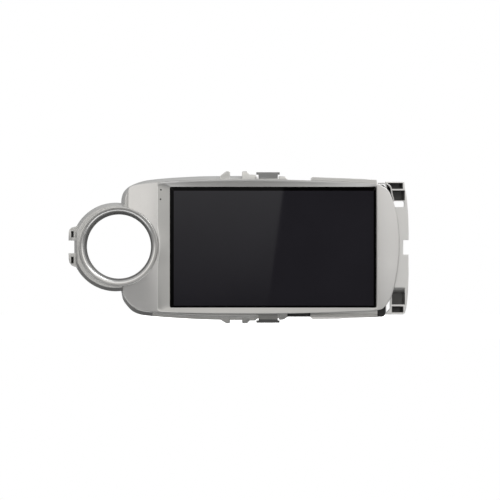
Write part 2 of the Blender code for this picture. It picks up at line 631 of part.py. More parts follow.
def make_screws():
    for i, at in enumerate(HOUSING_SCREWS):
        screw("housing_screw_%d" % (i + 1), at, 15.3, 5.4, 3.2, 1.5)
    for i, at in enumerate(CHASSIS_SCREWS):
        screw("chassis_screw_%d" % (i + 1), at, 25.6, 2.7, 3.0, 1.5)
    for i, at in enumerate(BOARD_SCREWS):
        screw("board_screw_%d" % (i + 1), at, BOARD_Y[1] + GAP, 6.6, 2.8, 1.3)
    x, z = FAN_AT
    for i, (dx, dz) in enumerate(((-16.0, 16.0), (16.0, -16.0))):
        screw("fan_screw_%d" % (i + 1), (x + dx, z + dz), 58.3, 8.0, 2.8, 1.45, DARK_SCREW)


SOCKETS = {
    "power_connector": (-40.0, -4.0, -44.5, -22.5),
    "aux_connector_a": (4.0, 28.0, -44.0, -33.0),
    "aux_connector_b": (34.0, 52.0, -44.0, -33.0),
    "usb_header_a": (4.0, 16.0, -27.0, -19.0),
    "usb_header_b": (22.0, 34.0, -27.0, -19.0),
}
AERIALS = {"gps_connector": (-8.0, 34.0), "wifi_connector": (10.0, 34.0)}
TUNER = (-46.0, -22.0, 8.0, 32.0)
TUNER_JACK = (-34.0, 20.0)


def make_chassis():
    chassis = prism("rear_chassis", [rounded(CHASSIS, 1.5, 2)], *CHASSIS_Y, ZINC)
    x0, x1, z0, z1 = CHASSIS
    rim = rounded((x0 - 8.0, x1 + 8.0, z0 - 8.0, z1 + 8.0), 3.0)
    join(chassis, prism("chassis_rim", [rim], CHASSIS_Y[0], CHASSIS_Y[0] + SHEET))
    inside = (x0 + SHEET, x1 - SHEET, z0 + SHEET, z1 - SHEET)
    cut(chassis, prism("chassis_inside", [rounded(inside, 0.8, 2)], 10.0, CHASSIS_Y[1] - SHEET))
    for name, (a, b, c, d) in SOCKETS.items():
        cut(chassis, block(name + "_port", (a - 0.4, b + 0.4), (50, 70), (c - 0.4, d + 0.4)))
    for name, at in AERIALS.items():
        cut(chassis, rod(name + "_port", at, 3.7, (50, 70), count=20))
    cut(chassis, rod("tuner_port", TUNER_JACK, 6.9, (50, 70), count=24))
    x, z = FAN_AT
    for i in range(-2, 3):
        half = math.sqrt(18.0**2 - (7.0 * i) ** 2) - 1.0
        slot = rounded((x + 7 * i - 2.1, x + 7 * i + 2.1, z - half, z + half), 2.0, 3)
        cut(chassis, prism("fan_slot_%d" % (i + 2), [slot], 50.0, 70.0))
    for i, (dx, dz) in enumerate(((-16.0, 16.0), (16.0, -16.0))):
        cut(chassis, rod("fan_fixing_%d" % i, (x + dx, z + dz), 1.8, (50, 70), count=12))
    for i, at in enumerate(CHASSIS_SCREWS):
        cut(chassis, rod("rim_hole_%d" % i, at, 1.8, (20, 30), count=12))
    for i in range(4):
        z = -32.0 + 16.0 * i
        for tag, side in (("l", (x0 - 3, x0 + 3)), ("r", (x1 - 3, x1 + 3))):
            cut(chassis, block("vent_%s%d" % (tag, i), side, (36.0, 50.0), (z, z + 5.0)))
    settle(chassis)


def make_board():
    board = prism("main_board", [rounded(BOARD, 1.5, 2)], *BOARD_Y, BOARD_GREEN)
    for i, at in enumerate(BOARD_SCREWS):
        cut(board, rod("board_hole_%d" % i, at, 1.6, (20, 40), count=12))
    settle(board)


def make_sockets():
    for name, (x0, x1, z0, z1) in SOCKETS.items():
        back = 60.0 if name == "power_connector" else 59.4
        colour = WHITE if name.startswith("aux") else BLACK
        body = block(name, (x0, x1), (PARTS_Y, back), (z0, z1), colour)
        wall = 1.6 if name == "power_connector" else 1.2
        room = ((x0 + wall, x1 - wall), (47.0, 70.0), (z0 + wall, z1 - wall))
        cut(body, block(name + "_mouth", *room))
        if name == "power_connector":
            middle = (z0 + z1) / 2
            ridge = ((x0 + 3, x1 - 3), (46.0, back - 2.0), (middle - 0.8, middle + 0.8))
            join(body, block("contact_ridge", *ridge))
        settle(body)
    for name, at in AERIALS.items():
        profile = [(4.4, PARTS_Y), (4.4, 44.0), (3.2, 44.0), (3.2, DEPTH), (2.2, DEPTH), (2.2, 52.0)]
        profile = [(0, PARTS_Y)] + profile + [(0, 52.0)]
        turned(name, at, profile, False, BRASS, 24)
    block("tuner_module", TUNER[:2], (PARTS_Y, 40.0), TUNER[2:], TIN)
    jack = [(0, 40.3), (6.4, 40.3), (6.4, 61.0), (4.8, 61.0), (4.8, 45.0), (0, 45.0)]
    turned("antenna_socket", TUNER_JACK, jack, False, ZINC, 28)


def make_electronics():
    block("soc_module", (-14.0, 46.0), (PARTS_Y, 33.2), (-13.0, 27.0), BOARD_GREEN)
    block("soc_shield", (-8.0, 40.0), (33.5, 36.5), (-8.0, 22.0), TIN)
    fins = [(-6.0, 36.8), (38.0, 36.8)]
    for i in range(8, -1, -1):
        x = -6.0 + 5.25 * i
        fins += [(x + 2.0, 44.0), (x, 44.0)] if i == 8 else [(x + 2.0, 39.0), (x + 2.0, 44.0), (x, 44.0)]
        if i:
            fins.append((x, 39.0))
    prism("heat_spreader", [fins], -7.0, 21.0, ALU, plane="XY")
    amp = block("amplifier_ic", (52.0, 82.0), (36.0, 54.0), (41.6, 46.6), CHIP)
    join(amp, block("amp_pins", (54.0, 80.0), (PARTS_Y, 37.0), (43.6, 44.6)))
    settle(amp)
    comb = [(30.0, CHASSIS[3] + GAP), (104.0, CHASSIS[3] + GAP)]
    for i in range(12, -1, -1):
        x = 30.0 + 6.0 * i
        comb += [(x + 2.0, 61.0), (x, 61.0)] if i == 12 else [(x + 2.0, 51.0), (x + 2.0, 61.0), (x, 61.0)]
        if i:
            comb.append((x, 51.0))
    prism("heatsink", [comb], 28.0, 56.0, ALU)
    cans = (("capacitor_a", (60.0, 24.0)), ("capacitor_b", (60.0, -30.0)), ("capacitor_c", (74.0, -36.0)))
    for name, at in cans:
        profile = [(0, PARTS_Y), (5.0, PARTS_Y), (5.0, 43.4), (4.4, 44.0), (0, 44.0)]
        turned(name, at, profile, False, BLACK, 24)
    block("power_choke", (90.0, 104.0), (PARTS_Y, 41.0), (-42.0, -28.0), CHIP)


def make_fan():
    x, z = FAN_AT
    frame = rounded((x - 20.0, x + 20.0, z - 20.0, z + 20.0), 3.0)
    case = prism("fan_housing", [frame, circle(x, z, 18.8, 40)], *FAN_Y, BLACK)
    join(case, rod("fan_base", FAN_AT, 9.0, (FAN_Y[0], FAN_Y[0] + 1.4), count=24))
    for i in range(3):
        height = (FAN_Y[0] + 0.1, FAN_Y[0] + 1.2)
        spoke = block("fan_spoke_%d" % i, (x - 6.5, x + 6.5), height, (z - 1.2, z + 1.2))
        turn = 2 * math.pi * i / 3 + 0.4
        for vert in spoke.data.vertices:
            vert.co.x += 13.0 * MM
        spoke.rotation_euler = (0, turn, 0)
        join(case, spoke)
    for i, (dx, dz) in enumerate(((-16.0, 16.0), (16.0, -16.0))):
        cut(case, rod("fan_bore_%d" % i, (x + dx, z + dz), 1.8, (40, 60), count=12))
    settle(case)
    hub = [(0, 48.4), (8.6, 48.4), (8.6, 54.8), (7.8, 55.6), (0, 55.6)]
    rotor = turned("fan_rotor", FAN_AT, hub, False, BLACK, 28)
    for i in range(7):
        blade = block("blade_%d" % i, (x - 0.6, x + 0.6), (49.0, 55.0), (z - 5.0, z + 5.0))
        for vert in blade.data.vertices:
            vert.co.z += 12.8 * MM
            vert.co.x += 0.7 * vert.co.y
        blade.rotation_euler = (0, 2 * math.pi * i / 7, 0)
        join(rotor, blade)
    settle(rotor)


def main():
    make_bezel()
    make_carrier()
    make_ring()
    make_clip("upper_clip", 1, UPPER_ROOT_Z, UPPER_RISE)
    make_clip("lower_clip", -1, LOWER_ROOT_Z, LOWER_RISE)
    make_display()
    make_flexes()
    make_housing()
    make_sense_board()
    make_chassis()
    make_board()
    make_sockets()
    make_electronics()
    make_fan()
    make_screws()


main()
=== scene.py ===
import math

import bmesh
import bpy
import numpy as np
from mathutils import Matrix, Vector


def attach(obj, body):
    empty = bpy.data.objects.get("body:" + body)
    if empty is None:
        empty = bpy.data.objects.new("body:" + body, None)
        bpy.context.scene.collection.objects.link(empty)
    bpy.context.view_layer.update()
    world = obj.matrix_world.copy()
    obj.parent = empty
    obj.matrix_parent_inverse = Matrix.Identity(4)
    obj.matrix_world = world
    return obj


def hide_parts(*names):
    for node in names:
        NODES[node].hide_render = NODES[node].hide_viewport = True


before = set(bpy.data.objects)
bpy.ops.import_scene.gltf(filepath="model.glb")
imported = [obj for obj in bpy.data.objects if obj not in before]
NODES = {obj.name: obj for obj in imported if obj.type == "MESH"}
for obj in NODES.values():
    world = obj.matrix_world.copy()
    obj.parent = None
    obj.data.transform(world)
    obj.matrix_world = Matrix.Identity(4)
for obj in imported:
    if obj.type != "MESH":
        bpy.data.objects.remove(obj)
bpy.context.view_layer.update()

# ------------ sizes, millimetres, y from the front plane, boxes as x0, x1, z0, z1

MM = 0.001
DEPTH = 62.0
# middles of the vent's collar and of the frame's round end
RING, ROUND = (-120.2, 1.5), (-123.5, 1.0)
COLLAR_R, TUBE_R = 39.9, 36.0
ROUND_R, LEFT_FLAT = 44.5, -165.0
LEFT_END, RIGHT_END = -170.4, 170.4
WINDOW = (-68.8, 137.8, -59.7, 61.3)
GLASS = (-69.8, 138.8, -60.7, 62.3)
SCREEN = (-64.8, 135.3, -57.7, 57.3)
TRAY = (-69.6, 138.6, -60.5, 62.1)
HOUSING = (-82.5, 147.3, -69.0, 63.6)
CHASSIS = (-54.5, 123.5, -52.0, 48.0)
FRAME_BACK = 24.0
MIC_AT, RESET_AT = (-77.6, 58.2), (-78.0, 48.8)
HOUSING_SCREWS = [(-76.2, 30), (-76.2, -40), (143.4, 30), (143.4, -40)]


def world_y(y):
    """Millimetres behind the front plane as metres along Y."""
    return (y - DEPTH / 2) * MM


# ------------ materials


class Nodes:
    """Builds the node tree of one material, or of the world."""

    def __init__(self, name, world=None):
        self.mat = world or bpy.data.materials.new(name)
        self.mat.use_nodes = True
        self.tree = self.mat.node_tree
        if world:
            self.tree.nodes.clear()
        else:
            self.shader = self.tree.nodes["Principled BSDF"]
        self.place = self.add("TexCoord").outputs["Generated" if world else "Object"]

    def put(self, slot, value):
        """Links another node's output to the slot, or sets a number, a vector or a colour on it."""
        if isinstance(value, bpy.types.NodeSocket):
            self.tree.links.new(value, slot)
        elif slot.type == "RGBA":
            slot.default_value = (*value, 1.0)
        else:
            slot.default_value = value

    def fill(self, node, inputs):
        for key, value in inputs.items():
            self.put(node.inputs[key.replace("_", " ")], value)
        return node

    def add(self, kind, settings=None, **inputs):
        node = self.tree.nodes.new("ShaderNode" + kind)
        for key, value in (settings or {}).items():
            setattr(node, key, value)
        return self.fill(node, inputs)

    def noise(self, scale, detail=3.0, rough=0.55, stretch=None):
        place = self.place
        if stretch:
            place = self.add("Mapping", Vector=place, Scale=stretch).outputs["Vector"]
        return self.add("TexNoise", Vector=place, Scale=scale, Detail=detail, Roughness=rough).outputs["Fac"]

    def cells(self, scale, **settings):
        """Distance from the middle of small cells."""
        return self.add("TexVoronoi", settings, Vector=self.place, Scale=scale).outputs["Distance"]

    def ramp(self, value, stops):
        node = self.add("ValToRGB", Fac=value)
        elements = node.color_ramp.elements
        while len(elements) < len(stops):
            elements.new(0.5)
        for element, (at, colour) in zip(elements, stops):
            element.position = at
            element.color = (*colour, 1.0)
        return node.outputs["Color"]

    def shades(self, value, colour, low, high, start=0.3, end=0.7):
        """The colour times low up to the start value and times high from the end value on."""
        return self.ramp(value, [(start, tint(colour, low)), (end, tint(colour, high))])

    def span(self, value, low, high, to_low, to_high):
        node = self.add("MapRange", Value=value, From_Min=low, From_Max=high, To_Min=to_low, To_Max=to_high)
        return node.outputs["Result"]

    def math(self, how, a, b=0.0):
        node = self.add("Math", {"operation": how})
        self.put(node.inputs[0], a)
        self.put(node.inputs[1], b)
        return node.outputs[0]

    def mix(self, fac, a, b, how="MIX"):
        node = self.add("Mix", {"data_type": "RGBA", "blend_type": how})
        for slot, value in ((0, fac), (6, a), (7, b)):
            self.put(node.inputs[slot], value)
        return node.outputs[2]

    def bump(self, height, strength, distance, **before):
        node = self.add("Bump", Height=height, Strength=strength, Distance=distance, **before)
        return node.outputs["Normal"]

    def finish(self, colour, rough, **inputs):
        self.fill(self.shader, dict(Base_Color=colour, Roughness=rough, **inputs))
        return self.mat


def tint(colour, by):
    """The colour times a number, kept between 0 and 1."""
    return tuple(min(max(c * by, 0.0), 1.0) for c in colour)


def paint(name, colour, rough=0.3, metallic=0.68, coat=0.12):
    """Metallic paint on moulded plastic: fine flake, faint orange peel, slight cloudiness."""
    n = Nodes(name)
    flake = n.span(n.cells(2600.0), 0.0, 0.9, 0.98, 1.015)
    base = n.mix(0.55, n.shades(n.noise(26.0), colour, 0.975, 1.02), flake, "MULTIPLY")
    peel = n.bump(n.noise(420.0, 2.0), 0.025, 0.00002)
    normal = n.bump(n.noise(5200.0, 1.0), 0.02, 0.00001, Normal=peel)
    roughness = n.span(n.noise(60.0, 4.0), 0.25, 0.75, rough - 0.015, rough + 0.025)
    return n.finish(base, roughness, Normal=normal, Metallic=metallic, Coat_Weight=coat, Coat_Roughness=0.18)


def plastic(name, colour, rough, grain, depth=0.00005, spread=0.12):
    """Moulded plastic with a spark-eroded grain."""
    n = Nodes(name)
    base = n.shades(n.noise(35.0), colour, 1 - spread, 1 + spread)
    roughness = n.span(n.noise(90.0, 4.0), 0.3, 0.7, rough - 0.06, rough + 0.08)
    return n.finish(base, roughness, Normal=n.bump(n.noise(grain, 2.0, 0.6), 0.35, depth))


def metal(name, colour, rough, stretch, grain, spread=0.08):
    """Bare or plated metal, with a fine rolled or drawn grain along one direction."""
    n = Nodes(name)
    streak = n.noise(grain, 4.0, 0.6, stretch)
    base = n.shades(n.noise(40.0, 4.0), colour, 1 - spread, 1 + spread, 0.25, 0.75)
    base = n.mix(0.35, base, n.shades(streak, colour, 0.85, 1.1))
    roughness = n.span(streak, 0.3, 0.7, rough - 0.06, rough + 0.1)
    return n.finish(base, roughness, Normal=n.bump(streak, 0.12, 0.00003), Metallic=1.0)


def circuit(name, colour):
    """Solder mask over copper: small square patches mixed with larger cloudy ones."""
    n = Nodes(name)
    patch = n.cells(220.0, distance="CHEBYCHEV")
    small = n.shades(patch, colour, 1.5, 0.8, 0.28, 0.36)
    large = n.shades(n.noise(70.0, 2.0), colour, 0.75, 1.2, 0.4, 0.6)
    base = n.mix(0.5, small, large)
    return n.finish(base, n.span(n.noise(300.0), 0.3, 0.7, 0.32, 0.48), Normal=n.bump(patch, 0.2, 0.00004))


def screen_glass(name, colour, specular=0.5):
    """Dark glass with the faintest smears on it."""
    n = Nodes(name)
    base = n.shades(n.noise(12.0, 2.0), colour, 0.93, 1.07)
    roughness = n.span(n.noise(18.0, 5.0), 0.35, 0.75, 0.006, 0.018)
    return n.finish(base, roughness, IOR=1.5, Specular_IOR_Level=specular)


# each roughness range stays on one side of 0.27, where the denoiser would turn it into speckle
LOOKS = {
    "face": paint("face_paint", (0.72, 0.716, 0.708)),
    # a darker copy of the face paint for the bezel's reveal slopes: painted shade
    "reveal": paint("reveal_painted_shade", (0.54, 0.54, 0.53)),
    "frame": paint("frame_paint", (0.68, 0.68, 0.668)),
    # a darker paint for the frame's fronts along the lower edge: painted shade
    "shade": paint("lower_edge_painted_shade", (0.44, 0.44, 0.432)),
    # the collar's darker copy, on its flat front band and tube: painted shade
    "collar": paint("collar_painted_shade", (0.47, 0.47, 0.465), 0.29, 0.85, 0.3),
    # a lighter paint for the bezel's crease and the frame's fronts and undersides: painted highlight
    "bright": paint("painted_highlight", (0.84, 0.84, 0.83)),
    # the collar's lighter copy, on its lip and outer rim: painted highlight
    "lip": paint("lip_painted_highlight", (0.80, 0.80, 0.79), 0.29, 0.8, 0.3),
    # dark plastic for the frame's pockets and slots and the collar's bore: painted shade
    "recess_shade": plastic("recess_painted_shade", (0.17, 0.17, 0.168), 0.5, 700.0, 0.00006, 0.2),
    "spring": metal("spring_steel", (0.27, 0.27, 0.265), 0.36, (1, 30, 1), 300.0),
    # a lighter copy of the spring steel for the lower clip's faces that don't face forward: painted light
    "spring_painted_light": metal("spring_steel_painted_light", (0.72, 0.72, 0.71), 0.4, (1, 30, 1), 300.0),
    "glass": screen_glass("screen_glass", (0.0192, 0.0184, 0.0232)),
    "border": screen_glass("glass_border", (0.0022, 0.0022, 0.0023), 0.12),
    "touch": plastic("touch_film", (0.05, 0.05, 0.055), 0.18, 300.0, 0.00001),
    "lcd": plastic("lcd_polariser", (0.02, 0.02, 0.024), 0.18, 300.0, 0.00001),
    "white": plastic("white_nylon", (0.74, 0.73, 0.68), 0.5, 700.0),
    "black": plastic("black_abs", (0.016, 0.016, 0.017), 0.5, 800.0, 0.00008, 0.2),
    "gloss_black": plastic("black_moulding", (0.012, 0.012, 0.012), 0.36, 500.0, 0.00003, 0.2),
    "zinc": metal("zinc_sheet", (0.60, 0.61, 0.615), 0.34, (1, 1, 14), 240.0, 0.1),
    "screw": metal("screw_zinc", (0.66, 0.66, 0.65), 0.34, (1, 1, 1), 1500.0),
    "black_screw": metal("black_screw", (0.05, 0.05, 0.052), 0.38, (1, 1, 1), 1500.0),
    "board": circuit("board_mask", (0.015, 0.10, 0.04)),
    "flex": plastic("polyimide", (0.50, 0.22, 0.05), 0.35, 300.0, 0.00002),
    "alu": metal("extruded_aluminium", (0.70, 0.71, 0.72), 0.36, (1, 26, 1), 220.0),
    "chip": plastic("moulded_epoxy", (0.022, 0.022, 0.023), 0.5, 1500.0),
    "tin": metal("tinned_can", (0.66, 0.67, 0.68), 0.34, (1, 1, 8), 300.0),
    "gold": metal("gold_plate", (0.80, 0.58, 0.24), 0.34, (1, 1, 1), 600.0),
}

# the CAD nodes that stay in view
NODE_LOOKS = {
    "touch": ["touch_sensor"],
    "lcd": ["lcd_panel"],
    "white": ["backlight_unit"],
    "black": ["reset_button", "microphone"],
    "gloss_black": ["capacitor_a", "capacitor_b", "capacitor_c"],
    "zinc": ["display_tray"],
    "board": ["main_board", "soc_module", "button_board"],
    "flex": ["lcd_flex", "touch_flex"],
    "alu": ["heat_spreader"],
    "chip": ["amplifier_ic", "reset_switch", "power_choke"],
    "tin": ["soc_shield", "tuner_module"],
}


def dress(obj, *looks, choose=None):
    """Gives an object its looks; choose(face, x, y, z) says which a face takes, y from the front plane."""
    obj.data.materials.clear()
    for look in looks:
        obj.data.materials.append(LOOKS[look])
    for face in obj.data.polygons:
        x, y, z = (v / MM for v in face.center)
        face.material_index = int(choose(face, x, y + DEPTH / 2, z)) if choose else 0


for look, names in NODE_LOOKS.items():
    for name in names:
        dress(NODES[name], look)


def stand_for(piece, node, body="head_unit", look=None):
    """The piece rides on a body and is shown in place of a node."""
    if look:
        dress(piece, look)
        smooth(piece, 30)
    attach(piece, body)
    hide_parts(node)


# ------------ shape helpers


def smooth(obj, angle):
    """Smooth shading, except over sharp edges and round large flat faces."""
    mesh = obj.data
    mesh.shade_smooth()
    mesh.set_sharp_from_angle(angle=math.radians(angle))
    flat = [p for p in mesh.polygons if len(p.vertices) > 8 or p.area > 150 * MM**2]
    rims = {key for polygon in flat for key in polygon.edge_keys}
    for edge in mesh.edges:
        if edge.key in rims:
            edge.use_edge_sharp = True


def new_object(name, data):
    obj = bpy.data.objects.new(name, data)
    bpy.context.scene.collection.objects.link(obj)
    return obj


def final_mesh(obj):
    """A mesh made from a curve, or from a mesh with its modifiers applied."""
    bpy.context.view_layer.update()
    graph = bpy.context.evaluated_depsgraph_get()
    return bpy.data.meshes.new_from_object(obj.evaluated_get(graph))


def from_bmesh(name, solid, look=None, angle=35):
    mesh = bpy.data.meshes.new(name)
    bmesh.ops.recalc_face_normals(solid, faces=solid.faces)
    solid.to_mesh(mesh)
    solid.free()
    obj = new_object(name, mesh)
    if look:
        dress(obj, look)
    smooth(obj, angle)
    return obj


def prism(name, outline, low, high, plane="XZ"):
    """A flat outline given thickness from low to high across its plane."""
    curve = bpy.data.curves.new(name, "CURVE")
    curve.dimensions = "2D"
    curve.fill_mode = "BOTH"
    curve.extrude = (high - low) / 2 * MM
    shift = DEPTH / 2 if plane == "XY" else 0.0
    spline = curve.splines.new("POLY")
    spline.points.add(len(outline) - 1)
    for point, (u, v) in zip(spline.points, outline):
        point.co = (u * MM, (v - shift) * MM, 0, 1)
    spline.use_cyclic_u = True
    guide = new_object(name + "_outline", curve)
    turns = {"XZ": (math.pi / 2, 0, 0), "YZ": (math.pi / 2, 0, math.pi / 2), "XY": (0, 0, 0)}
    guide.rotation_euler = turns[plane]
    middle = (low + high) / 2
    guide.location = {
        "XZ": (0, world_y(middle), 0),
        "YZ": (middle * MM, -DEPTH / 2 * MM, 0),
        "XY": (0, 0, middle * MM),
    }[plane]
    mesh = final_mesh(guide)
    mesh.transform(guide.matrix_world)
    bpy.data.objects.remove(guide)
    bpy.data.curves.remove(curve)
    solid = bmesh.new()
    solid.from_mesh(mesh)
    bpy.data.meshes.remove(mesh)
    bmesh.ops.remove_doubles(solid, verts=solid.verts, dist=1e-6)
    bmesh.ops.dissolve_limit(solid, angle_limit=0.01, verts=solid.verts, edges=solid.edges)
    return from_bmesh(name, solid)


def block(name, x, y, z):
    """A box between pairs of x, y and z."""
    solid = bmesh.new()
    bmesh.ops.create_cube(solid, size=1.0)
    size = [(b - a) * MM for a, b in (x, y, z)]
    bmesh.ops.scale(solid, vec=size, verts=solid.verts)
    middle = Vector((sum(x) / 2 * MM, world_y(sum(y) / 2), sum(z) / 2 * MM))
    bmesh.ops.translate(solid, vec=middle, verts=solid.verts)
    return from_bmesh(name, solid)


def circle(x, z, radius, count):
    turn = [2 * math.pi * i / count for i in range(count)]
    return [(x + radius * math.cos(a), z + radius * math.sin(a)) for a in turn]


def rod(name, at, radius, y, count):
    return prism(name, circle(*at, radius, count), *y)


def wider(box, by):
    x0, x1, z0, z1 = box
    return (x0 - by, x1 + by, z0 - by, z1 + by)


def rounded(box, radius, steps=6):
    """A rectangle (x0, x1, z0, z1) with round corners."""
    x0, x1, z0, z1 = box
    corners = [(x1 - radius, z1 - radius), (x0 + radius, z1 - radius)]
    corners += [(x0 + radius, z0 + radius), (x1 - radius, z0 + radius)]
    points = []
    for quarter, (cx, cz) in enumerate(corners):
        for step in range(steps + 1):
            angle = math.pi / 2 * (quarter + step / steps)
            points.append((cx + radius * math.cos(angle), cz + radius * math.sin(angle)))
    return points


def flowing(points, steps=8):
    """Extra points on a Catmull-Rom curve through an open run of points."""
    made = []
    for i in range(len(points) - 1):
        p = [points[max(i - 1, 0)], points[i], points[i + 1], points[min(i + 2, len(points) - 1)]]
        for step in range(steps):
            t = step / steps
            w = (-t + 2 * t**2 - t**3, 2 - 5 * t**2 + 3 * t**3, t + 4 * t**2 - 3 * t**3, t**3 - t**2)
            made.append(tuple(sum(w[k] * p[k][axis] for k in range(4)) / 2 for axis in (0, 1)))
    return made + [points[-1]]


def grown(outline, by):
    """The outline moved outward by a distance, with sharp corners kept sharp."""
    area = sum(a[0] * b[1] - b[0] * a[1] for a, b in zip(outline, outline[1:] + outline[:1]))
    side = by if area > 0 else -by
    normals = []
    for a, b in zip(outline[-1:] + outline[:-1], outline):
        run = math.hypot(b[0] - a[0], b[1] - a[1])
        normals.append(((b[1] - a[1]) / run, (a[0] - b[0]) / run))
    made = []
    for (x, z), a, b in zip(outline, normals, normals[1:] + normals[:1]):
        share = side / max(0.3, 1 + a[0] * b[0] + a[1] * b[1])
        made.append((x + share * (a[0] + b[0]), z + share * (a[1] + b[1])))
    return made


def weld(target, sides=4):
    """Welds points a few thousandths of a millimetre apart and closes the hairline gaps between them."""
    hairline = 0.003 * MM
    solid = bmesh.new()
    solid.from_mesh(target.data)
    bmesh.ops.remove_doubles(solid, verts=solid.verts, dist=hairline)
    bmesh.ops.dissolve_degenerate(solid, edges=solid.edges, dist=hairline)
    rims = [edge for edge in solid.edges if len(edge.link_faces) == 1]
    if rims:
        bmesh.ops.holes_fill(solid, edges=rims, sides=sides)
    bmesh.ops.recalc_face_normals(solid, faces=solid.faces)
    solid.to_mesh(target.data)
    solid.free()


def boolean(target, others, how):
    """Joins, cuts or intersects the target with each of the others in turn, and uses them up."""
    for other in others:
        modifier = target.modifiers.new(how, "BOOLEAN")
        modifier.operation = how
        modifier.solver = "EXACT"
        modifier.object = other
        mesh = final_mesh(target)
        target.modifiers.clear()
        target.data = mesh
        bpy.data.objects.remove(other)
        weld(target)
    return target


def cut(target, *others):
    return boolean(target, others, "DIFFERENCE")


def join(target, *others):
    return boolean(target, others, "UNION")


def round_edges(obj, width, segments, front=None):
    """Rounds the sharp edges, or only those that lie in the plane y = front."""
    sharp = math.radians(32)
    solid = bmesh.new()
    solid.from_mesh(obj.data)
    chosen = []
    for edge in solid.edges:
        if len(edge.link_faces) != 2 or edge.calc_face_angle(0) < sharp:
            continue
        if front is not None and any(abs(v.co.y - world_y(front)) > 1e-6 for v in edge.verts):
            continue
        chosen.append(edge)
    bmesh.ops.bevel(solid, geom=chosen, offset=width * MM, segments=segments, profile=0.5,
                    affect="EDGES", clamp_overlap=True)
    solid.to_mesh(obj.data)
    solid.free()
    return obj


def lofted(name, loops, look=None, closed=False, angle=35):
    """Bridges loops of (x, y, z); closed joins the last to the first, otherwise a face closes each end."""
    solid = bmesh.new()
    rings = [[solid.verts.new((x * MM, world_y(y), z * MM)) for x, y, z in loop] for loop in loops]
    count = max(len(ring) for ring in rings)
    for a, b in zip(rings, rings[1:] + rings[:1] if closed else rings[1:]):
        for i in range(count):
            j = i + 1
            corners = (a[i % len(a)], a[j % len(a)], b[j % len(b)], b[i % len(b)])
            solid.faces.new(list(dict.fromkeys(corners)))
    if not closed and len(rings[0]) > 1:
        solid.faces.new(rings[0])
        solid.faces.new(rings[-1])
    return from_bmesh(name, solid, look, angle)


def turned(name, at, profile, look=None, closed=False, steps=48, angle=35):
    """A profile of (radius, y) turned round a line along Y; one that isn't closed starts and ends on it."""
    loops = [[(x, y, z) for x, z in circle(*at, r, steps if r else 1)] for r, y in profile]
    return lofted(name, loops, look, closed, angle)


# ------------ outlines

BEZEL_RUN = [(-110.5, 56), (-109.6, 60.3), (-106.6, 62.3), (-98.5, 64), (-78.5, 65.8), (-38.5, 68.2)]
BEZEL_RUN += [(11.5, 69), (61.5, 68), (111.5, 66), (137.5, 64), (144.5, 61.6), (150, 57.5)]
BEZEL_RUN += [(153.5, 50.5), (156.5, 41), (159.4, 26), (161, 4), (159.8, -16), (157.5, -31)]
BEZEL_RUN += [(154.3, -45), (151, -52.5), (146.5, -58.5), (139.5, -62), (111.5, -63.6)]
BEZEL_RUN += [(61.5, -65.4), (11.5, -65.8), (-38.5, -65.4), (-78.5, -64), (-95, -62.2)]
BEZEL_RUN += [(-104, -59.6), (-110.3, -54.6), (-116, -45.5)]
WING_TOP = [(-118, 45), (-117.6, 50), (-115.9, 55.4), (-112.3, 59.9), (-107.5, 63), (-98.5, 66.5)]
WING_TOP += [(-88.5, 68.5), (-68.5, 70.4), (-38.5, 72), (-8.5, 72.4), (17.5, 72.5)]
WING_FOOT = [(17.5, -72.5), (-8.5, -72.4), (-38.5, -71.6), (-68.5, -69.9), (-88.5, -68.3), (-98.5, -66.8)]
WING_FOOT += [(-106.5, -63.4), (-112.3, -57.6), (-116.2, -51.6), (-118, -43)]


def bezel_outline():
    """The bezel's outer edge; its left side lies under the collar."""
    return [(-110.5, 30)] + flowing(BEZEL_RUN) + [(-116, -30), (-100, -20), (-100, 20)]


def reach(outline, angles):
    """Distance from CENTRE to the first crossing of the outline along each angle."""
    a = np.array(outline)
    b = np.roll(a, -1, axis=0)
    e = b - a
    rel = a - np.array(CENTRE)
    far = np.full(len(angles), 1e9)
    for k, angle in enumerate(angles):
        d = np.array([math.cos(angle), math.sin(angle)])
        cross = d[0] * e[:, 1] - d[1] * e[:, 0]
        ok = np.abs(cross) > 1e-12
        t = (rel[:, 0] * e[:, 1] - rel[:, 1] * e[:, 0])[ok] / cross[ok]
        s = (rel[:, 0] * d[1] - rel[:, 1] * d[0])[ok] / cross[ok]
        hit = t[(s >= 0) & (s < 1) & (t > 0)]
        far[k] = hit.min() if len(hit) else 1e9
    return far


# the bezel's creases, and the middle that its rays start from
CREASE_LEFT, CREASE_RIGHT = -81.0, 139.1
CENTRE = (34.5, 0.8)


def step01(v):
    """A smooth step from 0 to 1."""
    v = np.clip(v, 0.0, 1.0)
    return v * v * (3 - 2 * v)


def sink(x, z):
    """How far the bezel's face lies behind the front plane."""
    wing = step01((-76.0 - x) / 24.0)
    tall = np.abs(z - 1.0)
    fold = np.sqrt(tall**2 + 20.0**2) - 20.0
    crown = (1 - wing) * 0.9 * (tall / 66.0) ** 2.6 + wing * 0.115 * fold
    left = 0.9 * np.clip(CREASE_LEFT - x, 0, None) / 35.0
    right = 3.4 * (np.clip(x - 139.0, 0, None) / 22.0) ** 1.7
    return 0.15 + crown + left + right


def heading(x, z):
    """Angle of a point seen from CENTRE."""
    return math.atan2(z - CENTRE[1], x - CENTRE[0])


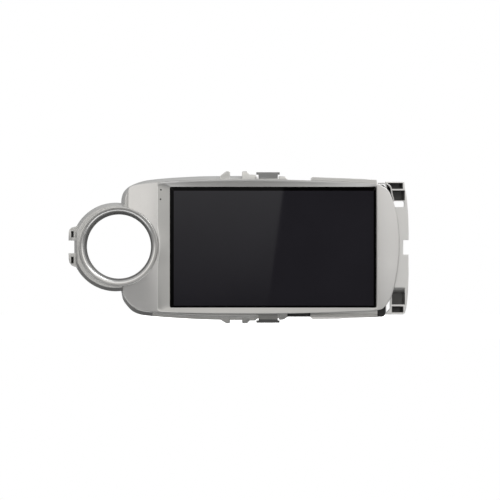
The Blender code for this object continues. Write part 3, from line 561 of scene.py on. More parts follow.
def make_bezel():
    """The painted face as loops round the screen, from the outer edge over the crease to the glass pocket."""
    opening = rounded(WINDOW, 1.6, 8)
    base = list(np.linspace(-math.pi, math.pi, 900, endpoint=False))
    # more rays where the collar cuts off the outer edge
    for horn in ((-110.5, 42.0), (-116.0, -45.5)):
        base += [heading(*horn) + d * 0.0008 for d in range(-12, 13)]
    base += [heading(*corner) for corner in opening]
    angles = np.array(sorted(set(round(a, 6) for a in base)))
    c, s = np.cos(angles), np.sin(angles)
    outer = reach(bezel_outline(), angles)
    # the collar bites into the left side
    dx, dz = RING[0] - CENTRE[0], RING[1] - CENTRE[1]
    along = dx * c + dz * s
    across = np.abs(dx * s - dz * c)
    bite = COLLAR_R + 0.06
    inside = (across < bite) & (along > 0)
    near = along - np.sqrt(np.clip(bite**2 - across**2, 0, None))
    edge = np.where(inside, np.minimum(outer, near), outer)
    collar = inside & (near < outer)
    window = reach(opening, angles)

    def upright(x, toward):
        return np.where(toward, (x - CENTRE[0]) / np.where(toward, c, 1), 1e4)

    left, right = upright(CREASE_LEFT, c < -0.2), upright(CREASE_RIGHT, c > 0.2)
    rim = np.where(collar, 0.35, 0.6)
    limit = edge - rim - 0.35
    # the nearest of the three, with the corners between them slightly round
    power = 60.0
    crease = (left**-power + right**-power + limit**-power) ** (-1 / power)
    crease = np.maximum(crease, window + 0.5)

    def loop(radius, y):
        x, z = CENTRE[0] + radius * c, CENTRE[1] + radius * s
        depth = y(x, z) if callable(y) else np.full(len(x), y)
        return list(zip(x, depth, z))

    loops = [loop(edge - 0.3, 8.0), loop(edge, 7.7)]
    for k in range(5):
        turn = math.pi / 2 * k / 4
        radius = edge - rim * (1 - math.cos(turn))
        drop = rim * (1 - math.sin(turn))
        loops.append(loop(radius, lambda x, z: sink(x, z) + drop))
    start = edge - rim
    for k in range(1, 15):
        share = k / 15
        loops.append(loop(start + (crease + 0.3 - start) * share, sink))
    creased = (len(loops), len(loops) + 1)
    top, fold, foot = crease - 0.25, 0.17, 2.3
    for radius, drop in ((crease + 0.28, 0.005), (crease, 0.06), (top, fold)):
        loops.append(loop(radius, lambda x, z: sink(x, z) + drop))
    # the slope from the crease down to the screen's opening
    for k in range(1, 7):
        share = k / 6
        radius = top + (window - top) * share
        loops.append(loop(radius, lambda x, z: (sink(x, z) + fold) * (1 - share) + foot * share))
    loops += [loop(window - 0.05, 2.45), loop(window - 0.05, 2.95)]
    pocket = np.minimum(reach(rounded(wider(GLASS, 0.3), 2.0, 8), angles), edge - 0.8)
    loops += [loop(pocket, 3.0), loop(pocket, 8.0)]

    def choose(face, x, y, z):
        # the crease's left run takes the lighter paint: a painted highlight
        if face.index // len(angles) in creased and x < -60:
            return 2
        # the slopes between the crease and the screen take the darker reveal paint: painted shade
        return WINDOW[0] - 11.9 < x < WINDOW[1] + 0.2 and face.normal.y < -0.3 and y < 3.2

    looks = ("face", "reveal", "bright", "black")
    bezel = lofted("bezel_face", loops, None, True, 40)
    dress(bezel, *looks, choose=choose)
    for at in (MIC_AT, RESET_AT):
        pinhole = rod("pinhole", at, 0.8, (-3, 12), 24)
        dress(pinhole, *looks, choose=lambda *_: 3)
        cut(bezel, pinhole)
    smooth(bezel, 40)
    stand_for(bezel, "front_bezel")


make_bezel()


def make_collar():
    """The stepped ring round the air vent."""
    profile = [(39.9, 2.9), (39.9, 7.8), (36, 8), (36, 20.7)]
    profile += [(35.7, 21), (32.5, 21), (32.2, 20.7), (32.2, 18.6), (32.5, 18.2), (33.3, 17.8)]
    profile += [(33.4, 17.2), (33.5, 7.6), (33.8, 6.9), (34.15, 6.3), (34.3, 5.2)]
    lip = [(34.3, 5.2), (34.4, 3.8), (34.65, 2.7), (35, 1.8), (35.4, 1.15), (35.9, 0.68), (36.4, 0.42)]
    lip += [(36.9, 0.28), (38.6, 0.2), (39.2, 0.28), (39.6, 0.62), (39.9, 1.5), (39.9, 2.9)]
    collar = turned("vent_collar", RING, profile + flowing(lip, 3)[1:-1], None, True, 160, 50)

    def choose(face, x, y, z):
        away = math.hypot(x - RING[0], z - RING[1])
        # the lip and the outer rim take the lighter copy as a painted highlight; the flat front band and the
        # tube keep the darker copy as painted shade
        if y < 5.0 and not 36.9 < away < 39.3:
            return 1
        # the bore takes the dark plastic: painted shade deep in the bore
        return 2 if away < 34.32 else 0

    dress(collar, "collar", "lip", "recess_shade", choose=choose)
    stand_for(collar, "vent_ring")


make_collar()


def loop_at(box, radius, y, grow=0.0):
    """A rounded rectangle at depth y as (x, y, z) points."""
    return [(x, y, z) for x, z in rounded(wider(box, grow), radius + grow, 8)]


def make_glass():
    """Cover glass with polished edges and a printed black border round the picture area."""
    loops = [loop_at(SCREEN, 0.4, 3.3), loop_at(GLASS, 1.8, 3.3, -0.2), loop_at(GLASS, 1.8, 3.36, -0.06)]
    loops += [loop_at(GLASS, 1.8, 3.5), loop_at(GLASS, 1.8, 4.25), loop_at(GLASS, 1.8, 4.4, -0.15)]
    x0, x1, z0, z1 = SCREEN
    glass = lofted("screen_pane", loops)
    dress(glass, "glass", "border", choose=lambda _, x, y, z: y < 3.4 and not (x0 < x < x1 and z0 < z < z1))
    stand_for(glass, "cover_glass")


make_glass()


# ------------ carrier frame

# depths of the web behind the bezel; the clips' width, and their height above (1) and below (-1)
PLATE = (8.3, 11.4)
CLIP_X = (20.0, 39.4)
CLIP_ROOT = {1: 69.0, -1: -70.9}


def ring_end():
    """The round end of the frame, cut flat on its left."""
    half = math.acos((ROUND[0] - LEFT_FLAT) / ROUND_R)
    turns = [math.pi + half + (2 * math.pi - 2 * half) * i / 128 for i in range(129)]
    outline = [(ROUND[0] + ROUND_R * math.cos(a), ROUND[1] + ROUND_R * math.sin(a)) for a in turns]
    steps = ((2.2, -4.2), (2.3, -3.9), (3.2, -3.2), (5.2, -2.3), (9.5, -1.2), (18, 0))
    return skirted("round_end", outline, steps)


def skirted(name, outline, steps):
    """A solid that grows toward the back, so that its side is a sloping skirt."""
    steps = steps + ((FRAME_BACK, 0.0),)
    return lofted(name, [[(x, y, z) for x, z in grown(outline, by)] for y, by in steps])


def clip_seat(name, sign):
    """The shelf and the two cheeks that hold one spring clip."""
    inner, outer, height = (66.2, 68.2, 3.6) if sign > 0 else (-69.1, -70.5, 1.0)
    shelf = block(name, (16.0, 43.0), (PLATE[0] - 0.2, FRAME_BACK - 0.6), sorted((inner, outer)))
    foot = inner + sign * 0.5
    pieces = []
    for tag, x in (("a", (17.4, 19.2)), ("b", (40.2, 42.0))):
        cheek = block(name + tag, x, (7.0, FRAME_BACK - 1.2), sorted((foot, outer + sign * height)))
        pieces.append(round_edges(cheek, 0.5, 3))
    if sign > 0:
        root = block(name + "_root", (18.2, 40.8), (7.3, 8.9), (foot + 0.2, CLIP_ROOT[sign] + 0.4))
    else:
        root = block(name + "_root", (15.0, 44.0), (PLATE[0] - 0.1, PLATE[1] + 0.2), (-70.2, -63.0))
    return join(shelf, *pieces, root)


def hooks(sign):
    """The two snap hooks and the raised land beside the clip on one long side."""
    first = [(-19.5, 67), (-18.5, 72.2), (-14.3, 75.6), (-12, 77), (-9.4, 77), (-8.5, 76.2), (-8.5, 67)]
    second = [(3.5, 67), (3.5, 76.2), (4.4, 77), (8.6, 77), (11.5, 73.4), (11.5, 67)]
    land = [(10.5, 67.2), (10.5, 73.6), (17.2, 73.6), (17.2, 67.2)]
    made = []
    for tag, points, back in (("hook_a", first, 18.0), ("hook_b", second, 18.0), ("land", land, 17.0)):
        outline = [(x, z if sign > 0 else -70.0 - (z - 70.0) * 0.8) for x, z in points]
        made.append(round_edges(prism(tag, outline, 9.0, back), 0.6, 3))
    return made


def lugs():
    """The two slotted lugs at the far left."""
    upper = [(-158, 24), (-163.5, 21.6), (-167.6, 20.4), (-169.5, 18.4), (-170.2, 15.5)]
    upper += [(LEFT_END, 7.5), (-163, 7.5)]
    lower = [(-158, -22), (-163, -19.2), (-167.2, -17.6), (-169.4, -14.8), (-170.2, -11)]
    lower += [(LEFT_END, -5.2), (-163, -5.2)]
    made = []
    for tag, outline, slot in (("upper", upper, (10.6, 17.0)), ("lower", lower, (-15.4, -8.6))):
        lug = round_edges(prism(tag + "_lug", outline, 9.0, 19.0), 0.7, 3, front=9.0)
        made.append(cut(lug, block("slot", (-167.8, -165.2), (5.0, 17.2), slot)))
    return made


def rails():
    """The rails and stops along the top and the foot, right of the clips."""
    top = [(72.4, 60), (72.4, 69.6), (74, 71.2), (105, 70), (122, 69.3), (138.6, 68.4), (138.6, 60)]
    foot = [(72, -60), (72, -69.2), (74, -71.4), (100, -71), (112, -70.2), (139.2, -69.4), (139.2, -60)]
    block_top = [(41, 64), (41, 72), (46.4, 71.8), (49, 69.2), (49, 64)]
    block_foot = [(41, -63), (41, -72.2), (45.8, -71.6), (49, -69.2), (49, -63)]
    slope = [(0, -60), (8.6, -60), (8.6, -65.6), (5.4, -69.2), (0, -69.2)]
    lower = cut(prism("lower_rail", foot, 5.4, 11.0), prism("rail_slope", slope, 70.0, 142.0, "YZ"))
    upper = round_edges(prism("upper_rail", top, 5.4, 11.0), 0.6, 3, front=5.4)
    stops = [prism("upper_stop", block_top, 6.0, FRAME_BACK - 2.0)]
    stops.append(prism("lower_stop", block_foot, 6.0, 10.8))
    return [upper, lower] + [round_edges(stop, 0.8, 3, front=6.0) for stop in stops]


RIB_OUT = [(140, 65.3), (145.6, 65.5), (149.9, 64.3), (152.9, 61.2), (153.9, 57), (154.6, 53)]
RIB_IN = [(153.3, 53.2), (152.6, 57), (151.7, 60.6), (149.2, 63.2), (145.4, 64.4), (140, 64.2)]
POCKETS = [(148.6, 164.7, 59.2, 65.3), (153.2, 166.6, 47.6, 57.7)]
POCKETS += [(153.6, 166.8, -56.6, -45.0), (153.6, 165.2, -64.6, -58.4)]


def flange():
    """The end flange on the right, with its notch, pockets and windows, and the rib round the corner."""
    edge = [(166, 66.5), (166.8, 60), (168.2, 53), (169, 46), (170, 33), (RIGHT_END, 18)]
    notch = [(RIGHT_END, 8), (165, 8), (165, -6.5), (RIGHT_END, -6.5)]
    lower = [(RIGHT_END, -26), (169.9, -42), (169.2, -51), (168.4, -57.5), (167.4, -62.5)]
    lower += [(166.3, -65.4), (164.6, -66.5)]
    outline = flowing(edge, 6) + notch + flowing(lower, 6) + [(147.6, -66.5), (147.6, 66.5)]
    end = round_edges(prism("end_flange", outline, 7.5, FRAME_BACK - 0.4), 0.5, 3, front=7.5)
    cutters = []
    for x0, x1, z0, z1 in POCKETS:
        side = [(x0, -5), (x1, -5), (x1, 8), (x1 - 2.6, 20), (x0, 20)]
        cutters.append(prism("pocket", side, z0, z1, "XY"))
    cutters.append(block("pocket_side", (148.6, 152.8), (-5, 20), (51, 60)))
    scoop = flowing([(7.4, -39.4), (10.5, -42.2), (14.5, -44.2), (19.8, -45.4)], 5)
    scoop = [(5.0, -45.4), (5.0, -38.4)] + scoop
    cutters.append(prism("pocket_ramp", scoop, 153.6, 166.6, "YZ"))
    cutters.append(prism("sight_window", rounded((155.0, 166.2, 41.0, 47.1), 1.6), -5, 30))
    corner = [(152, -50), (148, -54), (148, -64.6), (148.7, -64.6), (152, -60.6)]
    cutters.append(prism("corner_window", corner, -5.0, 30.0))
    for x1, z in ((167.0, (11, 38.5)), (162.6, (-9, 12)), (167.0, (-36.5, -9.5))):
        cutters.append(block("rear_hollow", (151.2, x1), (PLATE[1], 30), z))
    end = cut(end, *cutters)
    rib = flowing(RIB_OUT + [(156.2, 47.2)], 6) + flowing([(155.0, 47.2)] + RIB_IN, 6)
    return join(end, round_edges(prism("corner_rib", rib, 4.6, 20.4), 0.35, 3, front=4.6))


def wing_hollow():
    """The space behind the wing, round the tube that holds the collar."""
    x0 = HOUSING[0] - 3.0
    edge = [(-112.6, -50), (-107.6, -58.6), (-98, -63.6), (x0, -65.8), (x0, 65.8), (-98, 63.4)]
    edge += [(-108.2, 59.2), (-113.4, 53), (-113.6, 40), (-113.6, -40)]
    hollow = prism("wing_hollow", edge, PLATE[1], 30.0)
    return cut(hollow, rod("tube_wall", RING, COLLAR_R + 2.6, (0, 40), 128))


def frame_look(face, x, y, z):
    """0 paint, 1 dark plastic as painted shade in pockets and slots, 2 lighter paint as painted light on the
    flange's and lower rail's fronts and under the lower edge, 3 darker paint as painted shade on the fronts
    along the lower edge.
    """
    # the flange's pockets, the crescent by the corner rib and the lugs' slots take the dark plastic: painted
    # shade in the recesses
    if x > 147.0 and y > 8.0 and (z > 47.0 or z < -38.0):
        if x < 153.4 and z > 50.5:
            return 1
        for pocket in POCKETS:
            x0, x1, z0, z1 = wider(pocket, 0.1)
            if x0 < x < x1 and z0 < z < z1:
                return 1
    if -168.0 < x < -165.0 and y > 9.2 and (10.5 < z < 17.1 or -15.5 < z < -8.5):
        return 1
    forward = face.normal.y < -0.6
    # the flange's and the lower rail's front faces take the lighter paint: painted light
    if forward and (x > 155.0 or z < -66.0 and x > 71.0) and y < 12.0:
        return 2
    # along the lower edge the front faces take the darker paint (painted shade) and the faces turned down the
    # lighter one (painted light)
    if z < -64.0 and -86.0 < x < 62.0 and y < 16.0:
        return 3 if forward else 2
    return 0


def make_carrier():
    """The frame round the bezel: solid parts joined first, then the rooms, seats and holes."""
    outline = flowing(WING_TOP, 10) + [(26, 72.5), (26, -72.5)] + flowing(WING_FOOT, 10)
    steps = ((5.6, -4.6), (5.75, -4.1), (6.2, -3.75), (7, -3.5), (21.5, 0))
    wing = skirted("frame_body", outline, steps)
    cut(wing, block("wing_end", (17.5, 30), (0, 30), (-80, 80)))
    plate = [(12, 67.3), (75, 66.6), (139, 63), (148.5, 56.5), (157, 30), (159.3, 2)]
    plate += [(156.5, -28), (149, -52), (138, -61.2), (75, -64.2), (12, -64.8)]
    join(wing, ring_end(), prism("web", plate, PLATE[0] - 0.3, PLATE[1] + 0.3))
    join(wing, clip_seat("upper_seat", 1), clip_seat("lower_seat", -1))
    # a ledge closes the lower edge, left of the clip, where the housing's room cuts through the skirt
    ledge = prism("ledge", grown(outline, -0.25), 10.2, PLATE[1] + 0.3)
    part = block("ledge_part", (-86, 17.6), (0, 30), (-80, -62))
    join(wing, boolean(ledge, [part], "INTERSECT"))
    join(wing, *rails(), *hooks(1), *hooks(-1), *lugs())
    join(wing, flange())
    x0, x1, z0, z1 = HOUSING
    room = (x0 - 0.5, x1 + 0.5, z0 - 0.4, z1 + 0.4)
    cut(wing, block("housing_room", room[:2], (PLATE[1], 30), room[2:]), wing_hollow())
    cut(wing, prism("bezel_seat", grown(bezel_outline(), 0.4), -5.0, PLATE[0]))
    cut(wing, prism("screen_opening", rounded(wider(TRAY, 0.6), 1.5), 0.0, 30.0))
    cut(wing, rod("collar_seat", RING, COLLAR_R + 0.08, (-5, PLATE[0]), 160))
    cut(wing, rod("collar_bore", RING, TUBE_R + 0.3, (-4, 30), 160))
    holes = [rod("sense_hole", at, 2.6, (0, 13), 32) for at in (MIC_AT, RESET_AT)]
    cut(wing, *holes, *[rod("pilot", at, 1.8, (9.4, 13), 24) for at in HOUSING_SCREWS])
    weld(wing, 16)
    dress(wing, "frame", "recess_shade", "bright", "shade", choose=frame_look)
    smooth(wing, 30)
    stand_for(wing, "carrier_frame")


make_carrier()


def make_clip(name, sign, rise):
    """A strip of spring steel bent to a low peak, with a wide crest and two slots in its back slope."""
    root_z = CLIP_ROOT[sign]
    thick = 0.6
    middle = [(0, 0), (2.2, 1), (8.6, rise - 0.2), (11.2, rise), (16, 3), (17.6, 3.2)]
    if sign > 0:
        front = [(-0.8, 0), (1, 0), (1, thick), (-0.8, thick)]
        front_x, crest_from = (24.7, 34.7), 4.6
    else:
        middle = [(-2.2, 0.0)] + middle
        front = [(-2.8, -4.3), (-2.2, -4.3), (-2.2, 0.2), (-2, thick), (-2.8, thick)]
        front_x, crest_from = (CLIP_X[0] + 0.05, CLIP_X[1] - 0.05), 1.4
    middle = [(y, min(z, rise)) for y, z in flowing(middle, 4)]
    side = [(y, z + thick) for y, z in middle] + middle[::-1]

    def across(tag, points, x):
        return prism(name + tag, [(10.0 + y, root_z + sign * z) for y, z in points], *x, "YZ")

    clip = across("_strip", side, CLIP_X)
    crest = [(y, z) for y, z in side if z >= crest_from]
    wide = (CLIP_X[0] - 2.2, CLIP_X[1] + 1.9)
    join(clip, across("_front", front, front_x), across("_crest", crest, wide))
    tall = sorted((root_z, root_z + sign * 12))
    cut(clip, *[block("slot", (x, x + 5.0), (21.0, 30.0), tall) for x in (23.2, 31.2)])
    # the lower clip's faces that don't face forward take the lighter copy of the steel: painted light
    dress(clip, "spring", "spring_painted_light", choose=lambda face, *_: sign < 0 and face.normal.y > -0.9)
    smooth(clip, 30)
    stand_for(clip, name, name + "_body")


make_clip("upper_clip", 1, 6.6)
make_clip("lower_clip", -1, 3.7)

# ------------ rear half

# depths: the steel box, a cut through its back, its sheet, the back of the main board
CHASSIS_Y = (24.3, 58.0)
THROUGH = (50.0, 70.0)
SHEET = 1.0
BOARD_Y = 31.9
FAN_AT = (88.0, -2.0)
FAN_SCREWS = [(72.0, 14.0), (104.0, -18.0)]
CHASSIS_SCREWS = [(-58.5, 52), (127.5, 52), (-58.5, -56), (127.5, -56)]
BOARD_SCREWS = [(-44, 37), (113, 37), (-44, -41), (113, -41)]
# box, back, wall, (pins across, rows), look
SOCKETS = {
    "power_connector": ((-40.0, -4.0, -44.5, -22.5), 60.0, 1.6, (10, 2), "black"),
    "aux_connector_a": ((4.0, 28.0, -44.0, -33.0), 59.4, 1.2, (8, 2), "white"),
    "aux_connector_b": ((34.0, 52.0, -44.0, -33.0), 59.4, 1.2, (6, 2), "white"),
    "usb_header_a": ((4.0, 16.0, -27.0, -19.0), 59.4, 1.2, (4, 1), "black"),
    "usb_header_b": ((22.0, 34.0, -27.0, -19.0), 59.4, 1.2, (4, 1), "black"),
}
AERIALS = {"gps_connector": (-8.0, 34.0), "wifi_connector": (10.0, 34.0)}
TUNER_JACK = (-34.0, 20.0)


def make_chassis():
    """The pressed steel box: rolled edges, a rim, pressed ribs, ports, vents and the fan slots."""
    x0, x1, _, _ = CHASSIS
    low, high = CHASSIS_Y
    shell = prism("chassis_shell", rounded(CHASSIS, 1.5), low, high)
    round_edges(shell, 1.3, 4, front=high)
    rim = prism("rim", rounded(wider(CHASSIS, 8.0), 3.0, 8), low, low + SHEET)
    join(shell, round_edges(rim, 0.25, 2, front=low + SHEET))
    inside = prism("inside", rounded(wider(CHASSIS, -SHEET), 0.8), 10.0, high - SHEET)
    cut(shell, round_edges(inside, 0.5, 2, front=high - SHEET))
    ports = []
    for name, (box, *_) in SOCKETS.items():
        ports.append(prism(name + "_port", rounded(wider(box, 0.4), 0.6, 4), *THROUGH))
    ports += [rod("port", at, 3.7, THROUGH, 40) for at in AERIALS.values()]
    ports.append(rod("tuner_port", TUNER_JACK, 6.9, THROUGH, 48))
    x, z = FAN_AT
    for i in range(-2, 3):
        half = math.sqrt(18.0**2 - (7.0 * i) ** 2) - 1.0
        slot = rounded((x + 7 * i - 2.1, x + 7 * i + 2.1, z - half, z + half), 2.0)
        ports.append(prism("fan_slot", slot, *THROUGH))
    ports += [rod("fixing", at, 1.8, THROUGH, 24) for at in FAN_SCREWS]
    ports += [rod("rim_hole", at, 1.8, (20, 30), 24) for at in CHASSIS_SCREWS]
    for i in range(4):
        for side in ((x0 - 3, x0 + 3), (x1 - 3, x1 + 3)):
            vent = block("vent", side, (36.0, 50.0), (16.0 * i - 32.0, 16.0 * i - 27.0))
            ports.append(round_edges(vent, 1.0, 3))
    for i in range(3):
        groove = rounded((60.0, 117.0, -35.0 - 5.0 * i, -33.2 - 5.0 * i), 0.89)
        ports.append(prism("pressed_rib", groove, high - 0.4, 70.0))
    ports.append(prism("pressed_pad", rounded((-50.0, -18.0, 36.5, 44.0), 1.5), high - 0.3, 70.0))
    cut(shell, *ports)
    weld(shell, 16)
    stand_for(shell, "rear_chassis", look="zinc")


def make_housing():
    """The moulded box that carries the display and the chassis."""
    housing = prism("housing_box", rounded(HOUSING, 4.0, 8), 11.7, 24.0)
    round_edges(housing, 0.7, 3, front=24.0)
    cut(housing, prism("room", rounded((-66.0, 135.0, -57.0, 58.0), 2.0), 5.0, 22.0))
    cut(housing, prism("cable_window", rounded((-30.0, 100.0, -30.0, 28.0), 3.0), 5.0, 30.0))
    cut(housing, prism("sense_pocket", rounded((-81.0, -73.4, 43.6, 61.8), 0.6), 5.0, 17.6))
    join(housing, *[rod("post", at, 3.2, (22.4, 29.7), 32) for at in BOARD_SCREWS])
    cut(housing, *[rod("post_bore", at, 1.6, (24.6, 40), 24) for at in BOARD_SCREWS])
    cut(housing, *[rod("ear_hole", at, 1.8, (5, 30), 24) for at in HOUSING_SCREWS])
    cut(housing, *[rod("ear_sink", at, 4.0, (15.0, 30), 40) for at in HOUSING_SCREWS])
    cut(housing, *[rod("pilot", at, 1.8, (22.6, 30), 24) for at in CHASSIS_SCREWS])
    weld(housing, 16)
    stand_for(housing, "display_housing", look="black")


def make_socket(name, box, back, wall, pins, look):
    """A connector shroud with square pins, a given number across in one or two rows."""
    x0, x1, z0, z1 = box
    body = prism(name + "_shroud", rounded(box, 0.5, 4), BOARD_Y, back)
    round_edges(body, 0.3, 2, front=back)
    cut(body, prism("mouth", rounded(wider(box, -wall), 0.4, 3), 47.0, 70.0))
    mid_x, mid_z = (x0 + x1) / 2, (z0 + z1) / 2
    powered = name == "power_connector"
    if not powered:
        cut(body, block("key", (mid_x - 2.2, mid_x + 2.2), (52.0, 70.0), (z1 - wall - 0.5, z1 - 0.35)))
    dress(body, look, "tin")
    if powered:
        ridge = block("ridge", (x0 + 3, x1 - 3), (46.0, back - 2.0), (mid_z - 0.8, mid_z + 0.8))
        join(body, round_edges(ridge, 0.2, 2))
    across, rows = pins
    row_z = (z1 - z0 - 2 * wall) / 4 if rows == 2 else 0.0
    made = []
    for i in range(across):
        x = x0 + (x1 - x0) * (i + 0.5) / across * 0.84 + (x1 - x0) * 0.08
        for row in range(rows):
            z = mid_z + row_z * (2 * row - (rows - 1))
            pin = block("pin", (x - 0.4, x + 0.4), (46.0, back - 3.2), (z - 0.4, z + 0.4))
            dress(pin, look, "tin", choose=lambda *_: 1)
            made.append(pin)
    join(body, *made)
    smooth(body, 30)
    stand_for(body, name)


def make_aerials():
    """Two plated aerial sockets, grooved near the end, and the tuner's jack."""
    aerial = [(0, BOARD_Y), (4.2, BOARD_Y), (4.4, 32.2), (4.4, 43.7), (4.2, 44), (3.2, 44.2), (3.2, 56.8)]
    aerial += [(2.9, 57.1), (2.9, 58.5), (3.2, 58.8), (3.2, 61.6), (3, 62), (2.35, 62), (2.2, 61.8)]
    aerial += [(2.2, 52), (0.7, 52), (0.7, 59.8), (0.45, 60.4), (0, 60.5)]
    for name, at in AERIALS.items():
        stand_for(turned(name + "_shell", at, aerial, "gold"), name)
    jack = [(0, 40.3), (6.2, 40.3), (6.4, 40.6), (6.4, 54), (6.15, 54.3), (6.15, 55), (6.4, 55.3)]
    jack += [(6.4, 60.7), (6.1, 61), (5.1, 61), (4.8, 60.7), (4.8, 45), (1.5, 45), (1.5, 56)]
    jack += [(0.8, 56), (0.8, 50), (0, 50)]
    stand_for(turned("antenna_jack", TUNER_JACK, jack, "zinc", False, 64), "antenna_socket")


def make_heatsink():
    """A comb of thirteen tapered fins."""
    left, root, tip = 30.0, 51.0, 61.0
    fin = ((2, root), (1.75, tip - 0.3), (1.45, tip), (0.55, tip), (0.25, tip - 0.3), (0, root))
    comb = [(left, 48.3), (left + 74.0, 48.3)]
    for i in range(12, -1, -1):
        comb += [(left + 6.0 * i + dx, y) for dx, y in fin]
    del comb[2], comb[-1]
    sink = prism("heatsink_comb", comb, 28.0, 56.0)
    round_edges(sink, 0.25, 2, front=56.0)
    stand_for(sink, "heatsink", look="alu")


def make_screw(name, at, seat, length, head, shank, look):
    """A pan-head screw with a rolled thread and a cross recess, put in from the back."""
    tip, pitch = seat - length, 0.6
    profile = [(0, tip), (shank * 0.6, tip), (shank - 0.2, tip + 0.4)]
    for i in range(int((length - 1.0) / pitch)):
        y = tip + 0.5 + pitch * i
        profile += [(shank, y + 0.2), (shank - 0.22, y + 0.5)]
    profile += [(shank, seat - 0.2), (shank, seat), (head - 0.15, seat), (head, seat + 0.15)]
    profile += [(head, seat + 0.85), (head * 0.94, seat + 1.25), (head * 0.8, seat + 1.6)]
    profile += [(head * 0.55, seat + 1.82), (0, seat + 1.9)]
    piece = turned(name + "_body", at, profile, None, False, 32, 40)
    long, half = head * 0.58, 0.32
    arm = [(long, -half), (long, half), (half, half)]
    cross = []
    for _ in range(4):
        cross += [(at[0] + u, at[1] + v) for u, v in arm]
        arm = [(-v, u) for u, v in arm]
    cut(piece, prism("recess", cross, seat + 0.9, seat + 3.0))
    dress(piece, look)
    smooth(piece, 40)
    stand_for(piece, name)


def make_screws():
    """The screws by what they hold: seat depth, length, head radius, shank radius, look."""
    for name, places, sizes in (
        ("housing", HOUSING_SCREWS, (15.3, 5.4, 3.2, 1.5, "screw")),
        ("chassis", CHASSIS_SCREWS, (25.6, 2.7, 3.0, 1.5, "screw")),
        ("board", BOARD_SCREWS, (BOARD_Y, 6.6, 2.8, 1.3, "screw")),
        ("fan", FAN_SCREWS, (58.3, 8.0, 2.8, 1.45, "black_screw")),
    ):
        for i, at in enumerate(places):
            make_screw("%s_screw_%d" % (name, i + 1), at, *sizes)


def make_fan():
    """A small square fan: its frame with three spokes, and a wheel of seven twisted blades."""
    x, z = FAN_AT
    case = prism("fan_frame", rounded(wider((x, x, z, z), 20.0), 3.0, 8), 46.4, 56.4)
    round_edges(case, 0.6, 3)
    cut(case, rod("bore", FAN_AT, 18.8, (40, 60), 96))
    base = [(0, 46.4), (8.7, 46.4), (9, 46.7), (9, 47.5), (8.7, 47.8), (0, 47.8)]
    join(case, turned("base", FAN_AT, base))
    bar = [(6.5, -1.2), (19.4, -1.2), (19.4, 1.2), (6.5, 1.2)]
    spokes = []
    for i in range(3):
        turn = 2 * math.pi * i / 3 + 0.4
        c, s = math.cos(turn), math.sin(turn)
        outline = [(x + u * c + v * s, z - u * s + v * c) for u, v in bar]
        spokes.append(prism("spoke", outline, 46.5, 47.6))
    join(case, *spokes)
    cut(case, *[rod("bore", at, 1.8, (40, 60), 24) for at in FAN_SCREWS])
    stand_for(case, "fan_housing", look="gloss_black")
    hub = [(0, 48.4), (8.2, 48.4), (8.6, 48.8), (8.6, 54.6), (8.3, 55.2), (7.7, 55.55), (6.9, 55.6)]
    hub += [(0, 55.6)]
    rotor = turned("fan_wheel", FAN_AT, hub, None, False, 64)
    section = ((-1, 0), (-0.5, 0.5), (0, 0.6), (0.5, 0.45), (1, 0), (0.5, -0.35), (0, -0.5), (-0.5, -0.4))
    blades = []
    for i in range(7):
        loops = []
        for step in range(6):
            share = step / 5
            r = 8.0 + 9.7 * share
            pitch = math.radians(40 - 16 * share)
            start = 2 * math.pi * i / 7 + 0.25 * share
            chord = 3.2 + 0.9 * share
            loop = []
            for along, thick in section:
                u = along * chord * math.cos(pitch) + thick * math.sin(pitch)
                y = 52.0 + along * chord * math.sin(pitch) - thick * math.cos(pitch)
                turn = start + u / r
                loop.append((x + r * math.sin(turn), min(max(y, 49.0), 55.0), z + r * math.cos(turn)))
            loops.append(loop)
        blades.append(lofted("blade", loops))
    join(rotor, *blades)
    stand_for(rotor, "fan_rotor", "fan_body", "gloss_black")


make_chassis()
make_housing()
for name, sizes in SOCKETS.items():
    make_socket(name, *sizes)
make_aerials()
make_heatsink()
make_screws()
make_fan()

# ------------ camera, light, floor


def make_camera():
    """Level and far in front; the picture is half a metre wide at the front plane."""
    away, sensor, picture = 4.0, 36.0, 0.5
    data = bpy.data.cameras.new("camera")
    data.sensor_width = sensor
    data.lens = sensor * (away + world_y(0)) / picture
    data.clip_end = 60.0
    camera = new_object("camera", data)
    camera.location = (0.0115, -away, -0.002)
    camera.rotation_euler = (math.pi / 2, 0, 0)
    bpy.context.scene.camera = camera


def area(name, place, size, power, colour=(1, 1, 1), target=(0, 0, 0)):
    """A rectangular lamp aimed at a point."""
    data = bpy.data.lights.new(name, "AREA")
    data.shape = "RECTANGLE"
    data.size, data.size_y = size
    data.energy = power
    data.color = colour
    light = new_object(name, data)
    light.location = place
    light.rotation_euler = (Vector(target) - light.location).to_track_quat("-Z", "Y").to_euler()


def grey(value, warm=0.0):
    """A grey, warmer with less blue in it."""
    return (value, value * (1 - 0.4 * warm), value * (1 - warm))


# brightness by height, from straight down (-1) to straight up (1)
FRONT_LIGHT = [(-1.0, grey(0.2)), (-0.84, grey(0.5)), (-0.70, grey(1.25)), (-0.56, grey(1.15))]
FRONT_LIGHT += [(-0.47, grey(1.1)), (-0.37, grey(0.12)), (-0.12, grey(0.04)), (-0.02, grey(0.55))]
FRONT_LIGHT += [(0.07, grey(1.15, 0.05)), (0.35, grey(1.05, 0.07)), (0.6, grey(0.85, 0.03)), (1.0, grey(0.5))]
BACK_LIGHT = [(-1.0, grey(0.05)), (-0.3, grey(0.11)), (0.0, grey(0.34)), (0.5, grey(0.45)), (1.0, grey(0.45))]


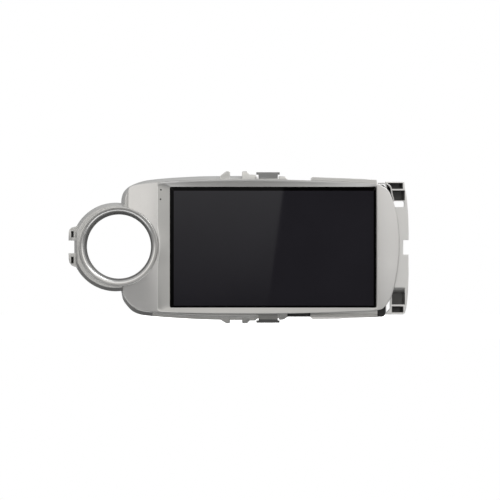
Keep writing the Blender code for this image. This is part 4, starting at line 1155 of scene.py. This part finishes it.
def make_world():
    """White to the eye; for lighting, a studio with a bright front, a dim back and a dark floor line."""
    world = bpy.data.worlds.new("studio")
    bpy.context.scene.world = world
    n = Nodes("studio", world)
    east, depth, up = n.add("SeparateXYZ", Vector=n.place).outputs
    height = n.span(up, -1.0, 1.0, 0.0, 1.0)
    front = n.ramp(height, [((at + 1) / 2, colour) for at, colour in FRONT_LIGHT])
    back = n.ramp(height, [((at + 1) / 2, colour) for at, colour in BACK_LIGHT])
    room = n.mix(n.span(depth, -0.25, 0.35, 0.0, 1.0), front, back)
    # the dark gap in front that the flat glass mirrors, with a lit patch on its left
    ahead = n.math("MULTIPLY", depth, -1.0)
    u = n.math("DIVIDE", east, ahead)
    v = n.math("DIVIDE", up, ahead)
    gap = n.math("MAXIMUM", n.math("ABSOLUTE", u), n.math("ABSOLUTE", v))
    gap = n.math("MULTIPLY", n.span(gap, 0.045, 0.060, 1.0, 0.0), n.math("GREATER_THAN", ahead, 0.5))
    lean = n.math("SUBTRACT", u, n.math("MULTIPLY", v, 0.1333))
    patch = n.span(lean, 0.0061, 0.0066, 1.0, 0.0)
    glow = n.math("MULTIPLY", patch, n.span(v, -0.0160, 0.0155, 0.0, 0.52))
    studio = n.add("Background", Color=n.mix(gap, room, glow))
    white = n.add("Background", Color=(1, 1, 1))
    seen = n.add("MixShader", Fac=n.add("LightPath").outputs["Is Camera Ray"])
    n.put(seen.inputs[1], studio.outputs[0])
    n.put(seen.inputs[2], white.outputs[0])
    n.add("OutputWorld", Surface=seen.outputs[0])


def make_floor():
    """A round sheet of plain white paper."""
    solid = bmesh.new()
    bmesh.ops.create_circle(solid, cap_ends=True, segments=96, radius=0.62)
    floor = from_bmesh("floor", solid)
    floor.location = (0, 0, -0.0775)
    n = Nodes("floor_paper")
    base = n.ramp(n.noise(9.0), [(0.3, grey(0.90)), (0.7, grey(0.94))])
    rough = n.span(n.noise(40.0), 0.3, 0.7, 0.75, 0.85)
    grain = n.bump(n.noise(600.0), 0.1, 0.0001)
    n.finish(base, rough, Normal=grain, Emission_Color=(1, 1, 1), Emission_Strength=0.8)
    floor.data.materials.append(n.mat)
    floor.visible_diffuse = False
    floor.visible_glossy = False


make_camera()
make_world()
make_floor()
area("rim", (0.95, -0.28, 0.95), (1.1, 0.32), 4.5)
area("top", (-0.3, -0.5, 1.4), (1.2, 0.8), 2.0, (1.0, 0.98, 0.95))
area("behind", (0.8, 0.8, 1.5), (1.2, 0.8), 16.0)
area("side", (0.50, -0.80, 0.06), (0.30, 0.45), 0.08, (1, 1, 1), (0.12, 0, 0))
bpy.context.scene.view_settings.view_transform = "Standard"
bpy.context.scene.view_settings.look = "None"
